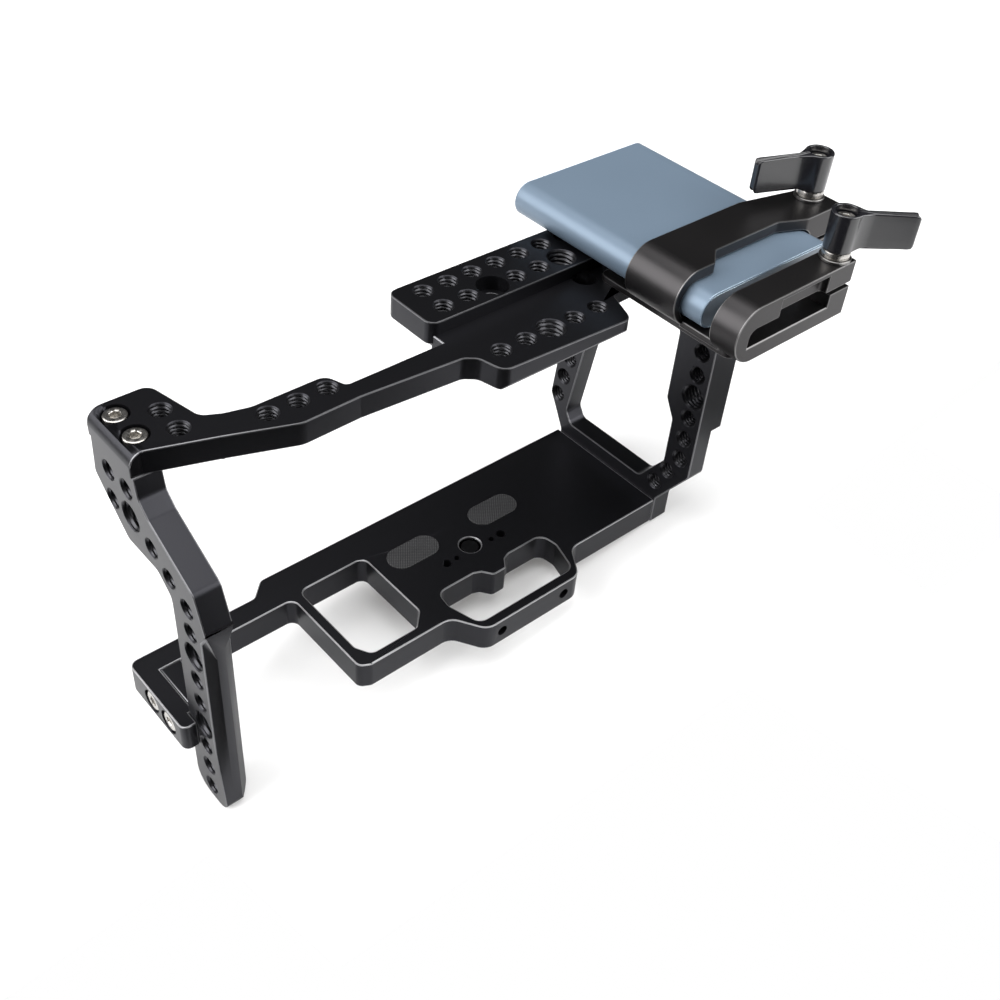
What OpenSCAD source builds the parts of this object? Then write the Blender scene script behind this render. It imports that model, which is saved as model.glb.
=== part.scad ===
// Camera cage: a machined frame for a wide camera body, with a clamp for a portable drive.
// The origin is on the base plate's top face, at the axis of the camera screw.
// X runs along the cage to the side with the drive clamp, Y away from the lens side, Z up.

/* [Cage] */
// Clear width between the arm and the side ring
inner_w = 180; // [178:0.5:184]
// Height from the base plate's top face to the underside of the top bar
inner_h = 86.3; // [85:0.1:100]
// Distance from the camera screw to the side ring
ring_x = 71.7; // [69:0.1:75]
// Distance from the camera screw back to the pad's front edge
screw_y = 4.5; // [3:0.1:6]
// Pitch of the accessory holes
hole_pitch = 10; // [9.6:0.1:10.3]
// Major diameter of the small accessory thread
small_thread_d = 6.35; // [6:0.05:6.6]
// Major diameter of the large accessory thread
large_thread_d = 9.5; // [9:0.05:9.7]
// Width of the lead-in chamfer of every accessory hole
lead_in = 0.3; // [0.2:0.05:0.4]

/* [Top plate] */
// Thickness of the plate on both levels
plate_t = 8; // [7.5:0.1:9]
// Height of the raised pad above the bar
pad_step = 4.7; // [4.2:0.1:5.4]
// Length of the raised pad
pad_l = 76; // [75:0.5:79]
// Width of the raised pad
pad_w = 22.4; // [22:0.1:24]
// Length of the bar from the pad to the arm's outer face
bar_l = 99; // [97:0.5:101]
// Width of the bar's end over the arm
bar_end_w = 28.4; // [27.8:0.1:30]
// Length of the wing along its front edge
wing_l = 57.5; // [57:0.5:60]
// Depth of the wing in front of the pad
wing_w = 27; // [26:0.1:29]

/* [Arm] */
// Thickness of the arm
arm_t = 9; // [8.5:0.1:10]
// Largest depth of the arm's outline
arm_d = 55.6; // [55:0.1:57]
// Height of the arm below the top plate
arm_h = 119.7; // [118:0.1:124]

/* [Base plate] */
// Thickness of the base plate
base_t = 10.8; // [10:0.1:12]
// Width of the main part of the base plate
base_w = 53.4; // [52:0.1:56]
// Distance from the camera screw to the base plate's plain front edge
base_front = 23.4; // [22.5:0.1:25]
// Length of the opening for the battery door
bay_l = 26.8; // [25:0.1:28]
// Width of the opening for the battery door
bay_w = 37.3; // [36:0.1:39]
// Width of the bars round the openings
rim_w = 3.9; // [3.5:0.1:4.4]
// Width of the tongue that reaches the arm
tongue_w = 8.3; // [7.5:0.1:9]
// Length of the foot that holds the arm
foot_l = 33.6; // [32:0.1:36]
// Thickness of the foot outside its seam
foot_t = 6.7; // [6.3:0.1:7.5]

/* [Side ring] */
// Thickness of the ring
ring_t = 8; // [7.6:0.1:9]
// Depth of the ring from its front post to the widest point behind
ring_d = 72.6; // [71:0.1:75]
// Thickness of the upper part of the front post
post_t = 12.9; // [12:0.1:14]
// Width of the upper part of the front post
post_w = 16.6; // [16:0.1:18]

/* [Drive] */
// Width of the portable drive
drive_w = 63; // [61:0.5:65]
// Length of the portable drive
drive_l = 85.4; // [82:0.2:90]
// Thickness of the portable drive
drive_t = 12; // [11:0.1:12.4]
// Thickness of the end caps of the drive
cap_t = 1.6; // [1.2:0.1:2.5]

/* [Drive clamp] */
// Thickness of the clamp's upper jaw
upper_jaw_t = 3.9; // [3:0.1:5]
// Thickness of the clamp's lower jaw
lower_jaw_t = 2.5; // [2.2:0.1:3.5]
// Thickness of the rubber lining of the jaws
lining_t = 0.5; // [0.3:0.05:0.8]
// Width of the rear hook round the drive
rear_hook_w = 21.3; // [20:0.1:23]
// Width of the front hook round the cable slot
front_hook_w = 10.4; // [9.8:0.1:11.5]
// Height of the cable slot in the front hook
slot_h = 6.2; // [5.8:0.1:6.6]
// Height of the slits that let the hooks close
slit = 1.5; // [1:0.1:2]
// Thickness of the plate under the clamp
clamp_plate_t = 2.2; // [1.8:0.1:2.6]

/* [Levers] */
// Length of a lever's blade from the stud's axis
blade_l = 23.4; // [20:0.1:28]
// Height of a lever
lever_h = 13; // [12:0.1:15]
// Diameter of a lever's hub at its top
hub_d = 9.5; // [9.2:0.1:10.5]
// Thread diameter of the clamping studs
stud_d = 5; // [4.6:0.1:5.2]
// How far a lever lifts to turn free of its stud
lever_lift = 2.5; // [2:0.1:2.6]
// Direction of the rear lever's blade
rear_blade_deg = 159; // [150:1:170]
// Direction of the front lever's blade
front_blade_deg = -38; // [-45:1:-30]

/* [Hidden] */
$fn = 40;
anodised = [0.11, 0.11, 0.12];
steel = [0.75, 0.75, 0.74];
rubber = [0.16, 0.16, 0.17];
shell_blue = [0.46, 0.57, 0.67];
cap_blue = [0.42, 0.48, 0.55];
arc_steps = 5;
full_turn = 360;
overrun = 1;
// Gap round a shaft in its bore and round a piece in its seat
shaft_gap = 0.06;

// Heights and sides in the pad's frame: its front left corner, on the pad's top face
low_top = -pad_step;
low_bottom = low_top - plate_t;
base_top = low_bottom - inner_h;
base_bottom = base_top - base_t;
base_mid = (base_top + base_bottom) / 2;
screw_x = 18.3;
ring_inner = ring_x + screw_x;
arm_inner = ring_inner - inner_w;
arm_outer = arm_inner - arm_t;
module from_pad() {
    translate([-screw_x, screw_y, -base_top]) children();
}

// Outlines with rounded corners: each point is [x, y, radius]
function unit(v) = v / norm(v);
function at(p) = [p[0], p[1]];
function corner(a, b, c, r) =
    let (u = unit(a - b), v = unit(c - b), half = acos(u * v) / 2,
         q = min(r, min(norm(a - b), norm(c - b)) * tan(half) / 2),
         mid = b + unit(u + v) * q / sin(half), p = b + u * q / tan(half),
         s = b + v * q / tan(half), start = atan2(p.y - mid.y, p.x - mid.x),
         bend = atan2(s.y - mid.y, s.x - mid.x) - start,
         turn = (bend + full_turn + full_turn / 2) % full_turn - full_turn / 2)
    [for (i = [0:arc_steps])
        mid + q * [cos(start + turn * i / arc_steps), sin(start + turn * i / arc_steps)]];
function rounded(pts) = let (n = len(pts)) [for (i = [0:n - 1]) each
    (pts[i][2] > 0 ? corner(at(pts[(i + n - 1) % n]), at(pts[i]), at(pts[(i + 1) % n]), pts[i][2])
        : [at(pts[i])])];
function scaled(shares, origin, size, r) =
    [for (s = shares) [origin.x + s[0] * size.x, origin.y + s[1] * size.y, s[2] * r]];
module slab(pts, low, high) {
    translate([0, 0, low]) linear_extrude(high - low) polygon(rounded(pts));
}
module along_x(start, end) {
    translate([start, 0, 0]) rotate([90, 0, 90]) linear_extrude(end - start) children();
}
module along_y(start, end) {
    translate([0, end, 0]) rotate([90, 0, 0]) linear_extrude(end - start) children();
}

// Holes: each runs down from the origin, with a lead-in at its open ends
module lead_cone(d, lead) {
    translate([0, 0, -lead]) cylinder(d1 = d, d2 = d + 2 * (lead + overrun), h = lead + overrun);
}
module through_hole(d, depth) {
    translate([0, 0, -depth - overrun]) cylinder(d = d, h = depth + 2 * overrun);
    lead_cone(d, lead_in);
    translate([0, 0, -depth]) mirror([0, 0, 1]) lead_cone(d, lead_in);
}
module blind_hole(d, depth) {
    translate([0, 0, -depth]) cylinder(d = d, h = depth + overrun);
}
module facing(dir) {
    rotate(dir == "+x" ? [0, 90, 0] : dir == "-x" ? [0, -90, 0] : dir == "-y" ? [90, 0, 0]
        : dir == "-z" ? [180, 0, 0] : [0, 0, 0]) children();
}

// Fasteners: the head's underside is at the origin, the shank runs down
m4_d = 4;
m4_head_d = 7;
m4_head_h = 4;
m4_key = 3;
m3_d = 3;
m3_head_d = 5.6;
m3_head_h = 1.6;
head_gap = 0.75;
module cap_screw(d, head_d, head_h, key, l) {
    difference() {
        union() {
            cylinder(d = head_d, h = head_h);
            translate([0, 0, -l]) cylinder(d = d - 2 * shaft_gap, h = l + head_h / 2);
        }
        translate([0, 0, head_h / 2]) cylinder(d = key / cos(30), h = head_h, $fn = 6);
    }
}
module flat_screw(d, head_d, head_h, l) {
    difference() {
        union() {
            translate([0, 0, -head_h]) cylinder(d1 = d, d2 = head_d, h = head_h);
            translate([0, 0, -l]) cylinder(d = d - 2 * shaft_gap, h = l - head_h / 2);
        }
        translate([0, 0, -head_h / 2]) cylinder(d = d / 2 / cos(30), h = head_h, $fn = 6);
    }
}
module flat_seat(d, head_d, head_h, depth) {
    blind_hole(d, depth);
    translate([0, 0, -head_h]) cylinder(d1 = d, d2 = head_d, h = head_h);
    cylinder(d = head_d, h = overrun);
}

// Top plate: bar, end over the arm, wing and tab on the low level, and the raised pad
bar_shares = [[-1, 1, 0.2], [-0.8, 1, 1], [-0.757, 0.29, 1], [-0.7, 0.19, 1.5], [-0.62, 0.115, 2],
    [-0.37, 0.113, 1], [-0.345, -0.14, 0.5]];
bar_front_shares = [[0.015, -0.48, 1], [-0.345, -0.385, 1], [-0.547, -0.4, 2], [-0.762, -0.116, 1],
    [-0.965, 0.13, 1], [-1, 0.148, 0.2]];
bar_r = 4;
pad_r = 3.5;
wing_skew = 1.3;
wing_r = 4;
wing_inset = 7.5;
wing_root = 16.5;
wing_side = 5.2;
tab_front = 10.5;
tab_gap = 0.5;
tab_past = 0.6;
joint_overlap = 1.5;
rib_w = 8;
rib_x = 5;
wing_face_h = 4.1;
end_round = 5;
module low_outline() {
    tab_right = ring_inner + post_t + tab_past;
    bar_size = [bar_l, bar_end_w];
    slab(concat(scaled(bar_shares, [0, 0], bar_size, bar_r),
        [[joint_overlap, bar_shares[6][1] * bar_end_w, 0], [joint_overlap, joint_overlap, 0],
         [rib_x, joint_overlap, 0], [rib_x, rib_w, 0], [wing_l, rib_w, 0], [wing_l, pad_w, 0],
         [tab_right, pad_w, pad_r], [tab_right, -tab_front, 0],
         [wing_l + wing_inset, -tab_front - wing_skew, wing_r],
         [wing_l + wing_skew, -wing_w - wing_skew, wing_r],
         [wing_inset, -wing_w + wing_skew, wing_r], [wing_side, -wing_root, wing_r]],
        scaled(bar_front_shares, [0, 0], bar_size, bar_r)), low_bottom, low_top);
}
arm_screw_y = [22.1, 11.1];
arm_screw_in = 6;
cap_bore_d = m4_head_d + 2 * head_gap;
ring_screw_y = [2, 14];
ring_screw_x = ring_inner + ring_t / 2;
ring_screw_l = 8;
pin_d = 3;
pin_l = 10;
arm_pin_y = (arm_screw_y[0] + arm_screw_y[1]) / 2;
ring_pin_y = (ring_screw_y[0] + ring_screw_y[1]) / 2;
end_hole_share = 0.832;
end_hole_y = [16.5, 6.6];
bar_hole_share = 0.399;
bar_hole_y = -2;
wing_hole_y = -17;
wing_hole_x = 13.8;
wing_pitch = 10.2;
row_far = 16.5;
row_near = 6.4;
counter_d = 10.9;
counter_place = 3;
counter_depth = 5;
wing_counter = [63, -2.2];
module cap_seat(depth) {
    blind_hole(m4_d, depth);
    blind_hole(cap_bore_d, m4_head_h + lead_in);
}
module pin_seat() {
    blind_hole(pin_d + 2 * shaft_gap, pin_l / 2 + overrun);
}
module top_plate() {
    color(anodised) from_pad() difference() {
        union() {
            low_outline();
            slab([[0, 0, pad_r], [pad_l, 0, pad_r], [pad_l, pad_w, pad_r], [0, pad_w, pad_r]],
                -plate_t, 0);
        }
        for (i = [1:7]) translate([i * hole_pitch, row_far, 0]) through_hole(small_thread_d, plate_t);
        for (i = [1:6]) translate([i * hole_pitch, row_near, 0])
            through_hole(i == 6 ? large_thread_d : small_thread_d, plate_t);
        translate([counter_place * hole_pitch, row_near, 0]) blind_hole(counter_d, counter_depth);
        for (i = [0:4]) translate([wing_hole_x + i * wing_pitch, wing_hole_y, low_top])
            through_hole(i == 2 ? large_thread_d : small_thread_d, plate_t);
        for (i = [0:2]) translate([-bar_hole_share * bar_l - i * hole_pitch, bar_hole_y, low_top])
            through_hole(small_thread_d, plate_t);
        for (y = end_hole_y) translate([-end_hole_share * bar_l, y, low_top])
            through_hole(small_thread_d, plate_t);
        for (y = arm_screw_y)
            translate([arm_outer + arm_screw_in, y, low_top]) cap_seat(plate_t + overrun);
        for (y = ring_screw_y) translate([ring_screw_x, y, low_top]) cap_seat(plate_t + overrun);
        translate([wing_counter.x, wing_counter.y, low_top]) {
            blind_hole(cap_bore_d, counter_depth);
            blind_hole(m4_d, plate_t + overrun);
        }
        for (p = [[arm_inner - arm_t / 2, arm_pin_y], [ring_screw_x, ring_pin_y]])
            translate([p.x, p.y, low_bottom + pin_l / 2]) blind_hole(pin_d + 2 * shaft_gap, pin_l);
        for (x = plate_screw_x)
            translate([x, plate_screw_y, low_top]) blind_hole(m3_d, plate_t - overrun);
        wing_undercut();
        end_rounding();
    }
}
// The slanted face under the wing's front edge
module wing_undercut() {
    cut = plate_t - wing_face_h;
    translate([0, -wing_w - wing_skew, low_top - wing_face_h]) along_x(-overrun, ring_inner)
        polygon([[-cut, overrun], [-overrun, overrun], [-overrun, 0], [0, 0], [cut, -cut],
            [cut, -cut - overrun], [-cut, -cut - overrun]]);
}
// The large radius along the bar's outer end
module end_rounding() {
    along_y(-bar_end_w, 2 * bar_end_w) difference() {
        translate([arm_outer - overrun, low_top - end_round])
            square([end_round + overrun, end_round + overrun]);
        translate([arm_outer + end_round, low_top - end_round]) circle(r = end_round);
    }
}

// The slanted inner corner of the arm's lower half
module arm_front_chamfer() {
    slope = arm_chamfer_depth / arm_chamfer;
    low = low_bottom - arm_h - overrun;
    translate([0, 0, low]) linear_extrude(arm_chamfer_z - low)
        polygon([[arm_inner - arm_chamfer, arm_front], [arm_inner - arm_chamfer, arm_front - overrun],
            [arm_inner + overrun, arm_front - overrun],
            [arm_inner + overrun, arm_front + slope * (arm_chamfer + overrun)]]);
}

// Arm: a crank-shaped plate with its toe in the foot, in [depth, height] shares
arm_front = -27;
arm_shares = [[0.975, 0, 0], [1, -0.115, 0.8], [0.72, -0.244, 1], [0.432, -0.244, 1.2],
    [0.317, -0.29, 1.2], [0.317, -1, 2.6], [0.004, -1, 1.5], [0, -0.3, 1.5], [0.075, -0.194, 1.2],
    [0.452, -0.093, 1.2], [0.53, -0.057, 1], [0.55, 0, 0]];
arm_r = 3;
arm_upper_shares = [[0.8255, -0.0593], [0.6457, -0.0593], [0.8291, -0.1495], [0.6475, -0.1462]];
arm_slant_shares = [[0.4604, -0.1813], [0.3094, -0.2247], [0.1583, -0.2682]];
arm_column_shares = [0.1565, -0.3484];
arm_pitch_share = 0.08605;
arm_chamfer = 3.5;
arm_chamfer_depth = 2.6;
arm_chamfer_z = -57;
arm_lower_round = 9;
toe_l = 20.6;
foot_proud = 5;
foot_x = arm_outer - foot_proud;
seam_x = foot_x + foot_t;
foot_screw_y = [5.7, -4.6];
foot_screw_z = base_mid;
foot_screw_l = 6;
arm_screw_l = 10;
module arm_hole(share, d) {
    translate([arm_inner, arm_front + share.x * arm_d, low_bottom + share.y * arm_h])
        facing("+x") through_hole(d, arm_t);
}
module left_arm() {
    back_edge = arm_front + arm_shares[4][0] * arm_d;
    color(anodised) from_pad() difference() {
        union() {
            along_x(arm_outer, arm_inner) polygon(rounded(scaled(arm_shares, [arm_front, low_bottom],
                [arm_d, arm_h], arm_r)));
            translate([seam_x + shaft_gap, back_edge - overrun, base_bottom])
                cube([arm_inner - seam_x - shaft_gap, toe_l + overrun, base_t]);
        }
        for (i = [0:3]) arm_hole(arm_upper_shares[i], i == 3 ? large_thread_d : small_thread_d);
        for (share = arm_slant_shares) arm_hole(share, small_thread_d);
        for (i = [0:7]) arm_hole(arm_column_shares - [0, i * arm_pitch_share],
            i == 1 || i == 4 ? large_thread_d : small_thread_d);
        for (y = arm_screw_y)
            translate([arm_outer + arm_screw_in, y, low_bottom]) blind_hole(m4_d, arm_screw_l);
        translate([arm_inner - arm_t / 2, arm_pin_y, low_bottom]) pin_seat();
        for (y = foot_screw_y)
            translate([seam_x, y, foot_screw_z]) facing("-x") blind_hole(m4_d, foot_screw_l);
        arm_front_chamfer();
        along_y(arm_front - overrun, arm_front + arm_d) difference() {
            translate([arm_inner - arm_lower_round, low_bottom - arm_h - overrun])
                square([arm_lower_round + overrun, arm_lower_round + overrun]);
            translate([arm_inner - arm_lower_round, low_bottom - arm_h + arm_lower_round])
                circle(r = arm_lower_round);
        }
    }
}

// Base plate: main part, battery opening, front bar, tongue and foot
front_y = -screw_y - base_front;
back_y = front_y + base_w;
bay_back = 13.1;
bay_right = -16.2;
bay_corner = 5.5;
rim_r = 3;
base_left = bay_right - bay_l - rim_w;
tongue_back = 19.6;
tongue_slope = 10;
bar_reach = 11.5;
bar_half_w = 28.4;
bar_taper = 7.2;
bar_front = front_y - bar_reach;
toe_back = tongue_back - tongue_w;
window_back = 16.2;
window_half = 25;
window_shares = [[-0.96, 0, 1.1], [-1, 0.36, 1.6], [-0.86, 1, 1.3], [0.86, 1, 1.3],
    [1, 0.36, 1.6], [0.96, 0, 1.3], [0.33, 0, 0.6], [0.22, 0.06, 0], [0.11, 0.25, 0.6], [-0.11, 0.25, 0.6],
    [-0.22, 0.06, 0], [-0.33, 0, 0.6]];
bar_hole_d = 4;
front_bar_r = 5.5;
bar_hole_x = 14.4;
bar_hole_depth = 3;
index_hole_d = 3.5;
index_hole_x = 12.7;
index_hole_y = 2.3;
mark_hole_d = 2.2;
mark_hole_x = 8.1;
camera_bore_d = 8;
camera_recess_d = 14.6;
camera_web = 2.2;
base_pocket_l = 21;
base_pocket_w = 10.6;
base_pocket_x = 18.7;
base_pocket_y = 4.8;
base_pocket_depth = 0.8;
base_screw_y = [-17, 14];
base_screw_l = 9;
base_pin_y = -1.5;
module stadium(l, w) {
    translate([-(l - w) / 2, 0]) circle(d = w);
    translate([(l - w) / 2, 0]) circle(d = w);
    square([l - w, w], center = true);
}
module base_outline() {
    slab([[ring_inner, front_y, 0], [ring_inner, back_y, 0], [base_left - rim_w, back_y, rim_r],
        [base_left - tongue_slope, tongue_back, rim_r], [foot_x, tongue_back, rim_r],
        [foot_x, tongue_back - foot_l, rim_r], [arm_outer - shaft_gap, tongue_back - foot_l, 0],
        [arm_outer - shaft_gap, toe_back - toe_l + shaft_gap, 0], [seam_x, toe_back - toe_l + shaft_gap, 0],
        [seam_x, toe_back, 0], [base_left, toe_back, rim_r], [base_left, front_y + rim_w / 2, rim_r],
        [base_left + rim_w, front_y, rim_r], [screw_x - bar_half_w, front_y, front_bar_r],
        [screw_x - bar_half_w + bar_taper, bar_front, front_bar_r],
        [screw_x + bar_half_w - bar_taper, bar_front, front_bar_r], [screw_x + bar_half_w, front_y, front_bar_r]],
        base_bottom, base_top);
}
module base_plate() {
    window_depth = -window_back - bar_front - rim_w;
    bay_front = bay_back - bay_w;
    color(anodised) from_pad() difference() {
        base_outline();
        slab([[bay_right - bay_l, bay_back, rim_r], [bay_right, bay_back, rim_r],
            [bay_right, bay_front + bay_corner, rim_r], [bay_right - bay_corner, bay_front, rim_r],
            [bay_right - bay_l + rim_r, bay_front, rim_r],
            [bay_right - bay_l, bay_front + bay_corner, rim_r]], base_bottom - overrun, base_top + overrun);
        slab(scaled(window_shares, [screw_x, -window_back], [window_half, -window_depth], rim_r),
            base_bottom - overrun, base_top + overrun);
        for (s = [-1, 1]) {
            translate([screw_x + s * bar_hole_x, bar_front, base_mid])
                facing("-y") blind_hole(bar_hole_d, bar_hole_depth);
            translate([screw_x + s * index_hole_x, -screw_y - index_hole_y, base_top])
                blind_hole(index_hole_d, base_t / 2);
            translate([screw_x + s * mark_hole_x, -screw_y - index_hole_y, base_top])
                blind_hole(mark_hole_d, bar_hole_depth);
            translate([screw_x + s * base_pocket_x, base_pocket_y, base_top - base_pocket_depth])
                linear_extrude(base_pocket_depth + overrun) stadium(base_pocket_l, base_pocket_w);
        }
        translate([screw_x, -screw_y, base_top]) blind_hole(camera_bore_d, base_t + overrun);
        translate([screw_x, -screw_y, base_top - camera_web]) blind_hole(camera_recess_d, base_t);
        for (y = foot_screw_y) translate([foot_x, y, foot_screw_z]) facing("-x") {
            blind_hole(m4_d, foot_t + overrun);
            blind_hole(cap_bore_d, m4_head_h - head_gap);
        }
        for (y = base_screw_y) translate([ring_inner, y, base_mid]) facing("+x")
            blind_hole(m4_d, base_screw_l + overrun);
        translate([ring_inner, base_pin_y, base_mid]) facing("+x") pin_seat();
    }
}

// Side ring: front and rear posts, bottom bar against the base, top bar under the tab
ring_front = -41;
ring_step_z = -60.9;
ring_bar_top = 9.3;
ring_foot_y = 12.7;
ring_foot_z = 1;
ring_back_foot = 7.5;
ring_low_z = 19.5;
ring_back_z = 15.5;
ring_mid_z = 29.6;
ring_mid_back = 30.6;
ring_top_back = 20;
ring_window_low = 6.3;
ring_hole_y = 5.6;
ring_hole_z = -26.8;
ring_hole_pitch = 9.35;
ring_slant_step = [4.57, -8.5];
post_low_w = 12.4;
ring_window_shares = [[0.311, 0, 1], [0.833, 0, 1], [0.873, 0.066, 1], [0.73, 1, 1]];
post_bend_shares = [0.576, 0.47, 0.194];
rear_post_top = [24, -63.8];
rear_post_step = [2.05, -9.4];
module side_ring() {
    ring_back = ring_front + ring_d;
    front_foot = ring_front + ring_foot_y;
    back_foot = ring_back - ring_back_foot;
    tab_seat = -tab_front - tab_gap;
    window_low = base_top + ring_window_low;
    window_high = low_bottom - ring_bar_top;
    window_h = window_high - window_low;
    color(anodised) from_pad() difference() {
        union() {
            along_x(ring_inner, ring_inner + ring_t) polygon(rounded([[ring_front, low_top, 0],
                [ring_front, base_top + ring_low_z, arm_r], [front_foot, base_top + ring_foot_z, arm_r],
                [front_foot, base_bottom, 0], [back_foot, base_bottom, 0],
                [back_foot, base_top + ring_foot_z, arm_r], [ring_back, base_top + ring_back_z, arm_r],
                [ring_mid_back, base_top + ring_mid_z, arm_r], [ring_top_back, low_bottom, rim_r],
                [tab_seat, low_bottom, 0], [tab_seat, low_top, 0]]));
            translate([ring_inner, ring_front, ring_step_z])
                cube([post_t, post_w, low_top - ring_step_z]);
        }
        along_x(ring_inner - overrun, ring_inner + post_t + overrun)
            polygon(rounded(concat([[ring_front + post_w, window_high, rim_r],
                [ring_front + post_w, window_low + post_bend_shares[0] * window_h, rim_r],
                [ring_front + post_low_w, window_low + post_bend_shares[1] * window_h, rim_r],
                [ring_front + post_low_w, window_low + post_bend_shares[2] * window_h, arm_r]],
                scaled(ring_window_shares, [ring_front, window_low], [ring_d, window_h], arm_r))));
        for (i = [0:5]) translate([ring_inner + (i < 4 ? post_t : ring_t), ring_front + ring_hole_y,
            ring_hole_z - i * ring_hole_pitch]) facing("+x")
                through_hole(i == 2 ? large_thread_d : small_thread_d, i < 4 ? post_t : ring_t);
        for (i = [1, 2]) translate([ring_inner + ring_t, ring_front + ring_hole_y + i * ring_slant_step.x,
            ring_hole_z - 5 * ring_hole_pitch + i * ring_slant_step.y]) facing("+x")
                through_hole(small_thread_d, ring_t);
        for (i = [-2:2]) translate([ring_inner + ring_t, rear_post_top.x + i * rear_post_step.x,
            rear_post_top.y + i * rear_post_step.y]) facing("+x") through_hole(small_thread_d, ring_t);
        for (y = base_screw_y) translate([ring_inner + ring_t, y, base_mid]) facing("+x") {
            blind_hole(m4_d, ring_t + overrun);
            blind_hole(cap_bore_d, m4_head_h);
        }
        for (y = ring_screw_y)
            translate([ring_screw_x, y, low_bottom]) blind_hole(m4_d, ring_screw_l);
        translate([ring_screw_x, ring_pin_y, low_bottom]) pin_seat();
        translate([ring_inner, base_pin_y, base_mid]) facing("-x") pin_seat();
        for (y = body_screw_y) translate([body_screw_x, y, low_top]) blind_hole(m3_d, body_screw_l);
    }
}

// Screws and pins of the frame
module arm_cap_screws() {
    color(steel) from_pad() for (y = arm_screw_y)
        translate([arm_outer + arm_screw_in, y, low_top - m4_head_h])
            cap_screw(m4_d, m4_head_d, m4_head_h - lead_in, m4_key,
                plate_t - m4_head_h + arm_screw_l - overrun);
}
module foot_screws() {
    color(steel) from_pad() for (y = foot_screw_y)
        translate([foot_x + m4_head_h - head_gap, y, foot_screw_z]) facing("-x")
            cap_screw(m4_d, m4_head_d, m4_head_h - head_gap - lead_in, m4_key,
                foot_t - m4_head_h + head_gap + foot_screw_l - overrun);
}
module ring_base_screws() {
    color(steel) from_pad() for (y = base_screw_y)
        translate([ring_inner + ring_t - m4_head_h, y, base_mid]) facing("+x")
            cap_screw(m4_d, m4_head_d, m4_head_h - lead_in, m4_key,
                ring_t - m4_head_h + base_screw_l - overrun);
}
module ring_top_screws() {
    color(steel) from_pad() for (y = ring_screw_y)
        translate([ring_screw_x, y, low_top - m4_head_h])
            cap_screw(m4_d, m4_head_d, m4_head_h - lead_in, m4_key,
                plate_t - m4_head_h + ring_screw_l - overrun);
}
module base_pins() {
    color(steel) from_pad() translate([ring_inner - pin_l / 2, base_pin_y, base_mid])
        rotate([0, 90, 0]) cylinder(d = pin_d, h = pin_l);
}
module top_pins() {
    color(steel) from_pad() for (p = [[arm_inner - arm_t / 2, arm_pin_y], [ring_screw_x, ring_pin_y]])
        translate([p.x, p.y, low_bottom - pin_l / 2]) cylinder(d = pin_d, h = pin_l);
}

// Rubber: the camera's pads in the base plate and the bumpers on the arm's inner face
pad_proud = 0.5;
bumper_d = 5;
bumper_h = 2;
bumper_low = 19;
bumper_pitch = 6.4;
bumper_y = -14.3;
module base_rubber_pads() {
    color(rubber) from_pad() for (s = [-1, 1])
        translate([screw_x + s * base_pocket_x, base_pocket_y, base_top - base_pocket_depth])
            linear_extrude(base_pocket_depth + pad_proud)
                stadium(base_pocket_l - 2 * shaft_gap, base_pocket_w - 2 * shaft_gap);
}
module arm_bumpers() {
    color(rubber) from_pad() for (i = [0, 1])
        translate([arm_inner, bumper_y, low_bottom - arm_h + bumper_low + i * bumper_pitch])
            rotate([0, 90, 0]) cylinder(d1 = bumper_d, d2 = bumper_d - bumper_h / 2, h = bumper_h);
}

// Clamp plate: lies on the tab and on the ring's front post, under the clamp
plate_left = 66.6;
plate_front = -62;
plate_back = -5;
plate_screw_x = [74, 87];
plate_screw_y = -7.9;
plate_screw_l = 7;
body_screw_x = ring_inner + post_t / 2;
body_screw_y = [-37, -29.5];
body_screw_l = 8;
clamp_bottom = low_top + clamp_plate_t;
module clamp_plate() {
    right = ring_inner + post_t + overrun;
    color(anodised) from_pad() difference() {
        slab([[plate_left, plate_front, rim_r], [right, plate_front, rim_r], [right, plate_back, rim_r],
            [plate_left, plate_back, rim_r]], low_top, clamp_bottom);
        for (x = plate_screw_x) translate([x, plate_screw_y, clamp_bottom])
            flat_seat(m3_d, m3_head_d, m3_head_h, clamp_plate_t + overrun);
        for (y = body_screw_y)
            translate([body_screw_x, y, clamp_bottom]) blind_hole(m3_d, clamp_plate_t + overrun);
    }
}
module clamp_plate_screws() {
    color(steel) from_pad() for (x = plate_screw_x) translate([x, plate_screw_y, clamp_bottom])
        flat_screw(m3_d, m3_head_d, m3_head_h, plate_screw_l);
}
module clamp_body_screws() {
    color(steel) from_pad() for (y = body_screw_y)
        translate([body_screw_x, y, clamp_bottom + lower_jaw_t])
            flat_screw(m3_d, m3_head_d, m3_head_h, lower_jaw_t + clamp_plate_t + body_screw_l - overrun);
}

// Drive clamp: two split hooks on one lower jaw
drive_x = 63.3;
lining_gap = 0.05;
hook_side_t = 3.4;
lining_in = 6;
lining_w = 13.8;
drive_bottom = clamp_bottom + lower_jaw_t + lining_t + lining_gap;
drive_mid = drive_bottom + drive_t / 2;
hook_top = drive_bottom + drive_t + lining_gap + lining_t + upper_jaw_t;
hook_h = hook_top - clamp_bottom;
hook_left = drive_x - hook_side_t;
hook_cx = hook_left + hook_h / 2;
drive_cx = drive_x + drive_t / 2;
rear_hook_front = -43;
rear_end_past = 14.3;
rear_hook_l = drive_x + drive_w + rear_end_past - hook_left;
rear_plan_shares = [[-0.02, 1, 0], [0.645, 1, 3], [0.906, 0.77, 2], [1, 0.72, 1.5], [1, 0.03, 0.3],
    [0.78, 0.03, 1], [0.65, 0.235, 1], [0.275, 0.235, 0.6], [0.2, 0, 0.6], [-0.02, 0, 0]];
front_hook_front = -67.7;
front_hook_l = 54.9;
front_axis_in = 4.7;
rear_axis_in = 5.5;
rear_axis_y = -32.5;
slot_in = 6.2;
slot_low_t = 5.6;
slot_end = 45.1;
slot_r = 5;
scoop_start = 19.4;
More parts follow.
